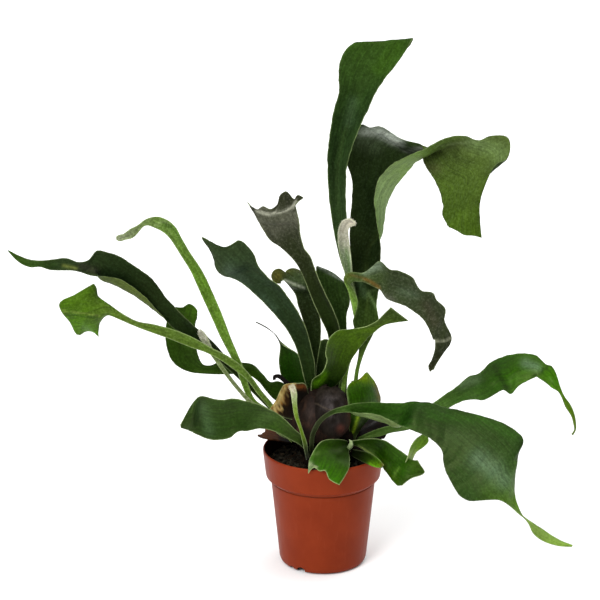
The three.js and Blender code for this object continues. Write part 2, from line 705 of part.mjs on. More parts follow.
// The middle surface of a blade, as rows of points
function bladeSurface(rows, { cup = BLADE_CUP, columns = 5, step = BLADE_STEP }) {
  const placed = rows.map((row) => row.map(place));
  const middles = placed.map(middleOf);
  const spread = placed.map((row, i) => {
    const next = middles[Math.min(i + 1, middles.length - 1)];
    const along = next.clone().sub(middles[Math.max(i - 1, 0)]);
    return spreadRow(row, along, cup, columns);
  });
  const knots = [0];
  for (let i = 1; i < spread.length; i += 1) {
    const lengths = spread[i].map((point, c) => point.distanceTo(spread[i - 1][c]));
    knots.push(knots[i - 1] + lengths.reduce((sum, length) => sum + length, 0) / columns);
  }
  const lines = spread[0].map((_, c) => spread.map((row) => row[c]));
  const surface = [spread[0]];
  for (let i = 0; i < spread.length - 1; i += 1) {
    const pieces = Math.max(1, Math.round((knots[i + 1] - knots[i]) / step));
    for (let k = 1; k <= pieces; k += 1) {
      surface.push(lines.map((line) => curvePoint(line, knots, i, k / pieces)));
    }
  }
  return surface;
}

function surfaceNormals(surface) {
  const lastRow = surface.length - 1;
  const lastColumn = surface[0].length - 1;
  return surface.map((row, r) => row.map((_, c) => {
    const along = surface[Math.min(r + 1, lastRow)][c].clone().sub(surface[Math.max(r - 1, 0)][c]);
    const across = row[Math.min(c + 1, lastColumn)].clone().sub(row[Math.max(c - 1, 0)]);
    return across.cross(along).normalize();
  }));
}

function rowWidth(row) {
  let width = 0;
  for (let c = 1; c < row.length; c += 1) width += row[c].distanceTo(row[c - 1]);
  return width;
}

// Stalks are thick and narrow, blades thin and wide, and tips thin again
function leafThickness(row) {
  const width = rowWidth(row);
  const stalk = THREE.MathUtils.clamp(STALK_SECTION / width, BLADE_THICKNESS, STALK_THICKNESS);
  return Math.max(THINNEST, Math.min(stalk, width / 2));
}

// Moves the surface's four borders outward by the given distance
function widen(surface, grow) {
  const push = (edge, inner) => edge.add(edge.clone().sub(inner).setLength(grow));
  const wide = surface.map((row) => row.map((point) => point.clone()));
  const lastRow = wide.length - 1;
  const lastColumn = wide[0].length - 1;
  wide.forEach((row) => {
    push(row[0], row[1]);
    push(row[lastColumn], row[lastColumn - 1]);
  });
  for (let c = 0; c <= lastColumn; c += 1) {
    push(wide[0][c], wide[1][c]);
    push(wide[lastRow][c], wide[lastRow - 1][c]);
  }
  return wide;
}

// Closed plate round a middle surface, split into triangles alike on both faces
function plate(surface, thicknessOf, grow = 0) {
  const rows = surface.length;
  const columns = surface[0].length;
  const middle = grow > 0 ? widen(surface, grow) : surface;
  const normals = surfaceNormals(middle);
  const positions = [];
  for (const side of [0.5, -0.5]) {
    middle.forEach((row, r) => {
      const offset = side * (thicknessOf(surface[r]) + 2 * grow);
      row.forEach((point, c) => positions.push(...point.clone().addScaledVector(normals[r][c], offset)));
    });
  }
  const top = (r, c) => r * columns + c;
  const bottom = (r, c) => (rows + r) * columns + c;
  const index = [];
  for (let r = 0; r < rows - 1; r += 1) {
    for (let c = 0; c < columns - 1; c += 1) {
      index.push(top(r, c), top(r, c + 1), top(r + 1, c + 1));
      index.push(top(r, c), top(r + 1, c + 1), top(r + 1, c));
      index.push(bottom(r, c), bottom(r + 1, c + 1), bottom(r, c + 1));
      index.push(bottom(r, c), bottom(r + 1, c), bottom(r + 1, c + 1));
    }
    const end = columns - 1;
    index.push(top(r, 0), top(r + 1, 0), bottom(r + 1, 0));
    index.push(top(r, 0), bottom(r + 1, 0), bottom(r, 0));
    index.push(top(r, end), bottom(r + 1, end), top(r + 1, end));
    index.push(top(r, end), bottom(r, end), bottom(r + 1, end));
  }
  for (let c = 0; c < columns - 1; c += 1) {
    const end = rows - 1;
    index.push(top(0, c), bottom(0, c + 1), top(0, c + 1));
    index.push(top(0, c), bottom(0, c), bottom(0, c + 1));
    index.push(top(end, c), top(end, c + 1), bottom(end, c + 1));
    index.push(top(end, c), bottom(end, c + 1), bottom(end, c));
  }
  const geometry = new THREE.BufferGeometry();
  geometry.setAttribute('position', new THREE.Float32BufferAttribute(positions, 3));
  geometry.setIndex(index);
  return solid(geometry);
}

// Turns a closed geometry into a solid that can be joined and cut
function solid(geometry) {
  const bare = geometry.clone();
  for (const name of Object.keys(bare.attributes)) {
    if (name !== 'position') bare.deleteAttribute(name);
  }
  const merged = mergeVertices(bare, 1e-4);
  const triangles = [];
  for (let i = 0; i < merged.index.count; i += 3) {
    const corners = [0, 1, 2].map((k) => merged.index.getX(i + k));
    if (new Set(corners).size === 3) triangles.push(...corners);
  }
  return new wasm.Manifold(new wasm.Mesh({
    numProp: 3,
    vertProperties: new Float32Array(merged.attributes.position.array),
    triVerts: new Uint32Array(triangles),
  }));
}

// The main body that is left of a cut piece, without slivers
function mainBody(shape) {
  const body = shape.decompose().reduce((best, next) => (next.volume() > best.volume() ? next : best));
  return body.asOriginal().simplify(SLIVER);
}

function toMesh(name, shape, color, roughness) {
  const { vertProperties, triVerts } = shape.getMesh();
  const geometry = new THREE.BufferGeometry();
  geometry.setAttribute('position', new THREE.BufferAttribute(new Float32Array(vertProperties), 3));
  geometry.setIndex(new THREE.BufferAttribute(new Uint32Array(triVerts), 1));
  geometry.computeVertexNormals();
  const material = new THREE.MeshStandardMaterial({ color, roughness, metalness: 0 });
  const mesh = new THREE.Mesh(geometry, material);
  mesh.name = name;
  return mesh;
}

// Fronds
function frondSolid({ rows, second_tine: tine, cup, columns }) {
  const blade = plate(bladeSurface(rows, { cup, columns }), leafThickness);
  if (!tine) return blade;
  return blade.add(plate(bladeSurface(tine, {}), leafThickness));
}

// The room that a frond needs in the pieces it passes through
function frondSocket({ rows, cup, columns }) {
  const [left, right] = [rows[0][0], rows[0][rows[0].length - 1]].map(place);
  const narrow = left.distanceTo(right) < NARROW_STALK;
  const surface = bladeSurface(rows.slice(0, SOCKET_ROWS), { cup, columns: columns ?? (narrow ? 3 : 5) });
  return plate(surface, leafThickness, GAP);
}

// Shields
function onEllipsoid({ center, radii, ruffle }, turn, rise, swell) {
  const wave = 1 + ruffle * Math.sin(5 * turn + 2.3 * rise) * Math.cos(3.1 * rise);
  const [rx, ry, rz] = radii.map((radius) => (radius + swell) * wave);
  return new THREE.Vector3(
    center[0] + rx * Math.cos(turn) * Math.cos(rise),
    center[1] + ry * Math.sin(turn) * Math.cos(rise),
    center[2] + rz * Math.sin(rise),
  );
}

function shieldSolid(shield, grow = 0) {
  const [turnStart, turnEnd] = shield.turn.map(THREE.MathUtils.degToRad);
  const [riseStart, riseEnd] = shield.rise.map(THREE.MathUtils.degToRad);
  const surface = [];
  for (let r = 0; r < shield.rows; r += 1) {
    const row = [];
    for (let c = 0; c < shield.columns; c += 1) {
      const turn = THREE.MathUtils.lerp(turnStart, turnEnd, c / (shield.columns - 1));
      const rise = THREE.MathUtils.lerp(riseStart, riseEnd, r / (shield.rows - 1));
      row.push(onEllipsoid(shield, turn, rise, 0));
    }
    surface.push(row);
  }
  return plate(surface, () => SHIELD_THICKNESS, grow);
}

function skirtSolid(grow = 0) {
  const [turnStart, turnEnd] = SKIRT.turn.map(THREE.MathUtils.degToRad);
  const [liftTurn, liftReach] = [SKIRT.liftTurn, SKIRT.liftReach].map(THREE.MathUtils.degToRad);
  const surface = [];
  for (let c = 0; c < SKIRT.columns; c += 1) {
    const turn = THREE.MathUtils.lerp(turnStart, turnEnd, c / (SKIRT.columns - 1));
    const lift = SKIRT.liftHeight * Math.exp(-(((turn - liftTurn) / liftReach) ** 2));
    const reach = SKIRT.outerRadius + SKIRT.ragged * Math.sin(7 * turn) * Math.cos(3 * turn + 1);
    const row = [];
    for (let r = 0; r < SKIRT.rows; r += 1) {
      const out = r / (SKIRT.rows - 1);
      const radius = THREE.MathUtils.lerp(SKIRT.innerRadius, reach, out);
      const sag = out * (2.5 * Math.sin(6 * turn) + lift);
      const height = THREE.MathUtils.lerp(SKIRT.innerHeight, SKIRT.outerHeight, out) + sag;
      row.push(new THREE.Vector3(radius * Math.cos(turn), radius * Math.sin(turn), height));
    }
    surface.push(row.reverse());
  }
  return plate(surface, () => SHIELD_THICKNESS, grow);
}

// Rhizome
function rhizomeSolid(grow = 0) {
  const lobes = RHIZOME_LOBES.map(({ center, radii }, i) => {
    const large = i === 0;
    const geometry = new THREE.SphereGeometry(1, large ? 20 : 12, large ? 12 : 8);
    geometry.scale(...radii.map((radius) => radius + grow));
    geometry.translate(...center);
    return solid(geometry);
  });
  return lobes.reduce((all, lobe) => all.add(lobe));
}

// Pot
function turned(profile) {
  const points = profile.map(([radius, height]) => new THREE.Vector2(radius, height));
  const geometry = new THREE.LatheGeometry(points, POT_SEGMENTS);
  geometry.rotateX(Math.PI / 2);
  return geometry;
}

function notchSolid(width, height, curveSegments, degrees) {
  const arch = new THREE.Shape();
  const half = width / 2;
  arch.moveTo(-half, -2);
  arch.lineTo(half, -2);
  arch.lineTo(half, height - half);
  arch.absarc(0, height - half, half, 0, Math.PI, false);
  arch.lineTo(-half, -2);
  const options = { depth: 2 * NOTCH_DEPTH, bevelEnabled: false, curveSegments };
  const geometry = new THREE.ExtrudeGeometry(arch, options);
  geometry.translate(0, 0, -NOTCH_DEPTH);
  geometry.rotateX(Math.PI / 2);
  geometry.rotateZ(Math.PI / 2 + THREE.MathUtils.degToRad(NOTCH_SLANT));
  geometry.translate(FLAT_BASE_RADIUS, 0, 0);
  geometry.rotateZ(THREE.MathUtils.degToRad(degrees));
  return solid(geometry);
}

function potSolid() {
  const profile = [
    [0, 0],
    [FLAT_BASE_RADIUS, 0],
    [FOOT_RADIUS - 1.2, 1.6],
    [FOOT_RADIUS, 5],
    [SHOULDER_RADIUS, SHOULDER_BOTTOM],
    [SHOULDER_RADIUS + 1.4, SHOULDER_BOTTOM + 2.3],
    [BAND_RADIUS - 0.2, BAND_BOTTOM],
    [BAND_RADIUS + 0.2, BAND_BOTTOM + 2],
    [RIM_RADIUS - 0.2, POT_HEIGHT - 4],
    [RIM_RADIUS, POT_HEIGHT - 1.2],
    [RIM_RADIUS - 0.7, POT_HEIGHT],
    [RIM_RADIUS - 1.6, POT_HEIGHT - 0.2],
    [RIM_RADIUS - 0.3 - WALL, POT_HEIGHT - 4],
    [BAND_RADIUS - WALL, BAND_BOTTOM + 2],
    [SHOULDER_RADIUS - WALL + 1, SHOULDER_BOTTOM + 3],
    [SHOULDER_RADIUS - WALL, SHOULDER_BOTTOM + 0.6],
    [FOOT_RADIUS - WALL, 5.4],
    [FLAT_BASE_RADIUS - 0.5, FLOOR],
    [0, FLOOR],
  ];
  let pot = solid(turned(profile));
  for (let i = 0; i < NOTCH_COUNT; i += 1) {
    const angle = NOTCH_FIRST_ANGLE + i * 360 / NOTCH_COUNT;
    pot = pot.subtract(notchSolid(NOTCH_WIDTH, NOTCH_HEIGHT, 4, angle));
    pot = pot.subtract(notchSolid(SMALL_NOTCH_WIDTH, SMALL_NOTCH_HEIGHT, 2, angle + SMALL_NOTCH_TURN));
  }
  return pot;
}

// Soil, with a lumpy top that rises a little to the middle
function soilSolid() {
  const inner = WALL + GAP;
  const profile = [
    [0, FLOOR + GAP],
    [FLAT_BASE_RADIUS - 1, FLOOR + GAP],
    [FOOT_RADIUS - inner, 6.2],
    [SHOULDER_RADIUS - inner, SHOULDER_BOTTOM + 0.8],
    [SHOULDER_RADIUS - inner + 0.8, SHOULDER_BOTTOM + 3.4],
    [BAND_RADIUS - inner, BAND_BOTTOM + 2.4],
    [BAND_RADIUS - inner + 0.7, SOIL_EDGE_HEIGHT],
  ];
  for (const radius of [46, 37, 28, 18, 9, 0]) {
    const crown = SOIL_CROWN * (1 - (radius / BAND_RADIUS) ** 2);
    profile.push([radius, SOIL_EDGE_HEIGHT + crown]);
  }
  const geometry = turned(profile);
  const position = geometry.attributes.position;
  for (let i = 0; i < position.count; i += 1) {
    const x = position.getX(i);
    const y = position.getY(i);
    const z = position.getZ(i);
    const loose = z > SOIL_EDGE_HEIGHT + 0.5;
    if (loose) position.setZ(i, z + SOIL_LUMP * Math.sin(0.31 * x + 1) * Math.cos(0.27 * y - 0.4 * x));
  }
  return solid(geometry);
}

// Assembly: each piece is cut clear of the ones that pass through it
const plant = new THREE.Group();
plant.name = 'staghorn_fern';

const frondCutters = [];
for (const [name, frond] of Object.entries(FRONDS)) {
  plant.add(toMesh(name, frondSolid(frond), frond.color, 0.55));
  frondCutters.push(frondSocket(frond));
}
const frondCutter = wasm.Manifold.union(frondCutters);

const shieldCutters = [];
for (const [name, shield] of Object.entries(SHIELDS)) {
  let shape = shieldSolid(shield).subtract(frondCutter);
  for (const cutter of shieldCutters) shape = shape.subtract(cutter);
  plant.add(toMesh(name, mainBody(shape), shield.color, 0.8));
  shieldCutters.push(shieldSolid(shield, GAP));
}

let skirt = skirtSolid().subtract(frondCutter);
for (const cutter of shieldCutters) skirt = skirt.subtract(cutter);
plant.add(toMesh('shield_old', mainBody(skirt), SKIRT.color, 0.95));

let rhizome = rhizomeSolid().subtract(frondCutter).subtract(skirtSolid(GAP));
for (const cutter of shieldCutters) rhizome = rhizome.subtract(cutter);
plant.add(toMesh('rhizome', mainBody(rhizome), 0x1f1712, 0.95));

const soil = soilSolid().subtract(frondCutter).subtract(rhizomeSolid(GAP));
plant.add(toMesh('soil', mainBody(soil), 0x17100b, 1));

plant.add(toMesh('pot', mainBody(potSolid()), 0x963e28, 0.5));

export default plant;
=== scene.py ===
"""Staghorn fern in a plastic nursery pot: the looks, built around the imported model.

The fronds follow the rows of their solids, with some margins moved by up to 7 mm, and have a finer
mesh, ruffled margins, felt and veins. Shapes are worked out in millimetres and written in metres.
"""

import math

import bpy
import numpy as np
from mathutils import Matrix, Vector, noise


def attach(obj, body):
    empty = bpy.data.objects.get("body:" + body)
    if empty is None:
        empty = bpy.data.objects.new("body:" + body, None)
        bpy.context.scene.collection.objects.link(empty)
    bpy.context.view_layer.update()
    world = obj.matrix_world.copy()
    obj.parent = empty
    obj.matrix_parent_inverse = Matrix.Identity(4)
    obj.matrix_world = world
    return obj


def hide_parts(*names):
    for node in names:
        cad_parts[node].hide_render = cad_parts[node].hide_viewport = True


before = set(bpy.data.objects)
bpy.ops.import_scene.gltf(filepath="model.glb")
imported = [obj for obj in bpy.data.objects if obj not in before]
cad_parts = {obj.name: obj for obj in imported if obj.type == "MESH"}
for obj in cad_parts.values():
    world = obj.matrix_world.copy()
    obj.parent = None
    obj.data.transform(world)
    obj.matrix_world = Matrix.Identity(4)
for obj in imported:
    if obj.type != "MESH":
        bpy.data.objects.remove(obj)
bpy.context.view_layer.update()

MM = 0.001
SEED = 7
NOISE_OCTAVES = 4

# The drawing board of the fronds: it leans back through the origin by LEAN degrees. A point is
# [across, up, depth]: where an eye EYE_DISTANCE in front of the board, level with the board's point
# EYE_ACROSS, EYE_UP, sees it on the board, and how far back it really lies (its y).
LEAN = math.radians(17.8)
EYE_DISTANCE = 2100
EYE_ACROSS = -22.8
EYE_UP = 257
EYE = np.array([
    EYE_ACROSS,
    EYE_UP * math.sin(LEAN) - EYE_DISTANCE * math.cos(LEAN),
    EYE_UP * math.cos(LEAN) + EYE_DISTANCE * math.sin(LEAN),
])

# Camera: one millimetre of the board is one pixel of a picture 600 pixels wide. Nothing more than
# FARTHEST_SEEN metres away is seen.
SENSOR = 36
PICTURE = 600
LENS = SENSOR * EYE_DISTANCE / PICTURE
FARTHEST_SEEN = 50

# Pot: radii are outside ones, and the notches are cut across the foot at an angle
POT_HEIGHT = 118
RIM_RADIUS = 59.3
BAND_BOTTOM = 90.5
BAND_RADIUS = 56.5
SHOULDER_BOTTOM = 86.2
SHOULDER_RADIUS = 51.5
FOOT_RADIUS = 43.2
FLAT_BASE_RADIUS = 38.5
WALL = 1.6
POT_FLOOR = 2.2
POT_CORNER = 0.7
POT_SEGMENTS = 192
POT_COLOR = (125, 46, 21)
POT_MOTTLE = (113, 39, 17)
POT_SCUFF = (134, 56, 34)
# The dark colour below darkens the pot's inside, and in the crease under the band it is painted shade.
POT_DARKENING = (20, 13, 9)
CREASE_PAINTED_SHADE = 0.55
CREASE_REACH = 0.7
SHARP_EDGE = math.radians(40)
NOTCH_COUNT = 3
NOTCH_FIRST_ANGLE = -123.5
NOTCH_SLANT = 26
NOTCH_WIDTH = 8.6
NOTCH_HEIGHT = 6
NOTCH_DEPTH = 9
NOTCH_BELOW = 2
NOTCH_ARCH_POINTS = 13
SMALL_NOTCH_TURN = -16
SMALL_NOTCH_WIDTH = 5.4
SMALL_NOTCH_HEIGHT = 3.6

# Soil. A relief is layers of (height, size of the lumps, seed) in millimetres.
SOIL_EDGE_HEIGHT = 103
SOIL_CROWN = 5
SOIL_LUMP = 1.6
SOIL_LUMPS_END = (46, 54)
SOIL_RELIEF = ((1.5, 7, 41), (0.7, 2.6, 42))
SOIL_RELIEF_CALMS = (50, 54.5)
SOIL_GAP = 0.35
SOIL_SEGMENTS = 200
SOIL_TOP_RINGS = 46
SOIL_COLORS = ((36, 35, 29), (56, 52, 42))
CRUMBS = 420
CRUMB_SIZE = (0.7, 2.4)
CRUMB_REACH = 52
CRUMB_LIFT = 0.6
CRUMB_ROUGHNESS = 0.12
CRUMB_SEGMENTS = 7
CRUMB_RINGS = 5
CRUMB_DARK = (24, 21, 17)
CRUMB_PALE = (70, 60, 46)

# Blades: the thickness depends on the width, the mesh is finest at EDGE_OFFSETS from the margins, and
# waves of a few lengths ruffle and jag the margins and pucker the blade between them. LEAF_SHARE turns
# a seen colour into the leaf's own, and PALE_SHARE does so for greys.
BLADE_THICKNESS = 1.0
STALK_THICKNESS = 2.6
THINNEST = 0.7
STALK_SECTION = 12
BLADE_CUP = 0.12
BLADE_STEP = 2.4
BLADE_COLUMNS = 19
LOBED_COLUMNS = 37
EDGE_OFFSETS = (0, 0.1, 0.35, 0.8)
FULL_WIDTH = 30
NARROW = 6
MARGIN_ROUNDING = 0.9
RUFFLE_LENGTHS = (41, 23, 13, 8)
JAG_LENGTHS = (19, 9, 5)
PUCKER_LENGTHS = (27, 15, 9)
JAG = 0.22
PUCKER = 0.3
RUFFLED_FROM = (15, 60)
MARGIN_REACH = 0.5
MARGIN_COLOR = (150, 166, 112)
MARGIN_STRENGTH = 0.5
LEAF_SHARE = np.array([0.6, 0.6, 0.36])
PALE_SHARE = np.array([0.6, 0.6, 0.54])
GREYNESS = (0.45, 0.85)
RAGGED_NOISE = (3, 21)
HAIR_LENGTH = (0.7, 1.7)
HAIR_WIDTH = 0.14
HAIR_LEAN = 0.45
HAIRLESS_FELT = 0.25
HAIR_COLOR = (196, 192, 178)
FAR_FROM_MARGIN = 5.0

# Rhizome, as in the solids: the lobes are (center, radii)
RHIZOME_LOBES = (
    ((4, 6, 138), (34, 30, 44)),
    ((-11, -23, 113), (9, 8, 9)),
    ((26, -17, 121), (11, 10, 13)),
    ((-26, -4, 141), (14, 12, 12)),
    ((31, 0, 176), (7, 7, 13)),
)
LOBE_SEGMENTS = 24
LOBE_RINGS = 16
RHIZOME_VOXEL = 1.6
RHIZOME_RELIEF = ((1.1, 11, 21), (0.5, 3.5, 22))
RHIZOME_SINK = 0.9
RHIZOME_COLORS = ((9, 7, 5), (24, 17, 12))

# Scales and roots of the rhizome
SCALES = 900
SCALE_LENGTH = (2, 4.5)
SCALE_LEAN = 0.35
SCALE_LIFT = 0.3
SCALE_HALF_WIDTH = 0.28
SCALE_THICKNESS = 0.7
SCALE_DARK = (11, 8, 6)
SCALE_PALE = (50, 34, 22)
SCALE_REDDISH = (128, 74, 52)
SCALY_BUD = (33, -3, 188)
SCALY_BUD_REACH = 9
ROOT_FIBERS = 46
FIBER_RINGS = 8
FIBER_SEGMENTS = 5
FIBER_STARTS = (18, 27)
FIBER_REACHES = (10, 24)
FIBER_BENDS = (-0.7, 0.7)
FIBER_RADII = (0.45, 0.2)
FIBER_OUTMOST = 51
FIBER_START_HEIGHT = 5
FIBER_ARCH = 1.5
FIBER_END_DEPTH = 2.5
FIBER_COLORS = ((14, 10, 7), (48, 34, 22))

# Shields, as in the solids: turn and rise are angles in degrees
SHIELD_THICKNESS = 1.3
DOME = {"center": (7, -14, 160), "radii": (20, 28, 27), "turn": (150, 350), "rise": (-52, 80),
        "ruffle": 0.02, "relief": ((0.5, 16, 1),), "columns": 120, "rows": 90}
LEFT_SHIELD = {"center": (-2, -2, 140), "radii": (40, 36, 46), "turn": (172, 290), "rise": (-5, 72),
               "ruffle": 0.035, "relief": ((1.3, 16, 2),), "columns": 80, "rows": 70}
SKIRT = {"turn": (-10, 190), "inner": (31, 124), "outer": (64, 131), "ragged": 4, "sag": 2.5,
         "lift": (12, 20, 8), "noise": (9, 11), "uneven": 1.2, "torn": 0.02, "columns": 220, "rows": 22}
FLAP_MARGIN = ((-24, 155), (-5, 152), (0, 149), (7, 146), (20, 147), (32, 154))
FLAP_STEP = 1.1
FLAP_EDGE = (-0.8, 0.4)

# Colours of the shields. A spot is a place on the board and its reaches across and up, and a band is
# its middle and its reach.
DOME_DARK = (24, 19, 15)
# Painted highlights: the dome's paler grey over the middle, at one spot and a fainter one.
DOME_HIGHLIGHT = (57, 52, 51)
DOME_HIGHLIGHT_SPOT = ((8, 153), (9, 12))
DOME_FAINT_HIGHLIGHT_SPOT = ((11, 136), (6, 7))
DOME_TOP = (48, 42, 34)
DOME_TOP_BAND = (170, 8)
DOME_RIGHT = (56, 36, 20)
DOME_RIGHT_BAND = (28, 4)
DOME_RED = (84, 46, 38)
DOME_RED_SPOT = ((18, 128), (4, 4))
DOME_FLAP_EDGE = (84, 74, 62)
DOME_FLAP_BAND = (-0.8, 0.8)
LEFT_SHIELD_DARK = (22, 14, 9)
LEFT_SHIELD_RUST = (58, 38, 26)
LEFT_SHIELD_PALE_PATCH = (46, 37, 33)
LEFT_SHIELD_PALE_SPOT = ((-12, 145), (7, 13))
SKIRT_DARK = (13, 9, 6)
SKIRT_BROWN = (46, 29, 17)
SKIRT_RUST = (104, 62, 36)
SKIRT_RUST_FROM = (34, 56)

# Small pieces that the solids don't have
DEAD_TIP = (
    (-36, 169, -20, -31, 173, -20), (-41, 176, -20, -38, 178.5, -20),
    (-45.5, 179, -20, -44, 182.8, -20), (-47, 178.5, -19, -49.5, 181.5, -19),
    (-47.3, 177, -18, -49.6, 176.5, -18),
)
DEAD_TIP_CUP = 0.3
DEAD_TIP_COLUMNS = 9
DEAD_TIP_RUFFLE = 0.3
DEAD_TIP_THICKNESS = 1.2
DEAD_TIP_COLOR = (16, 12, 11)
SHOOT = ((25, 108, -27), (31, 113, -33), (26.5, 117.5, -32))
SHOOT_RADIUS = 2.4
SHOOT_SWELL = (0.35, 0.97)
SHOOT_RELIEF = ((0.25, 1.5, 61),)
SHOOT_RINGS = 14
SHOOT_SEGMENTS = 12
SHOOT_FOOT_COLOR = (84, 112, 44)
SHOOT_TIP_COLOR = (158, 176, 122)

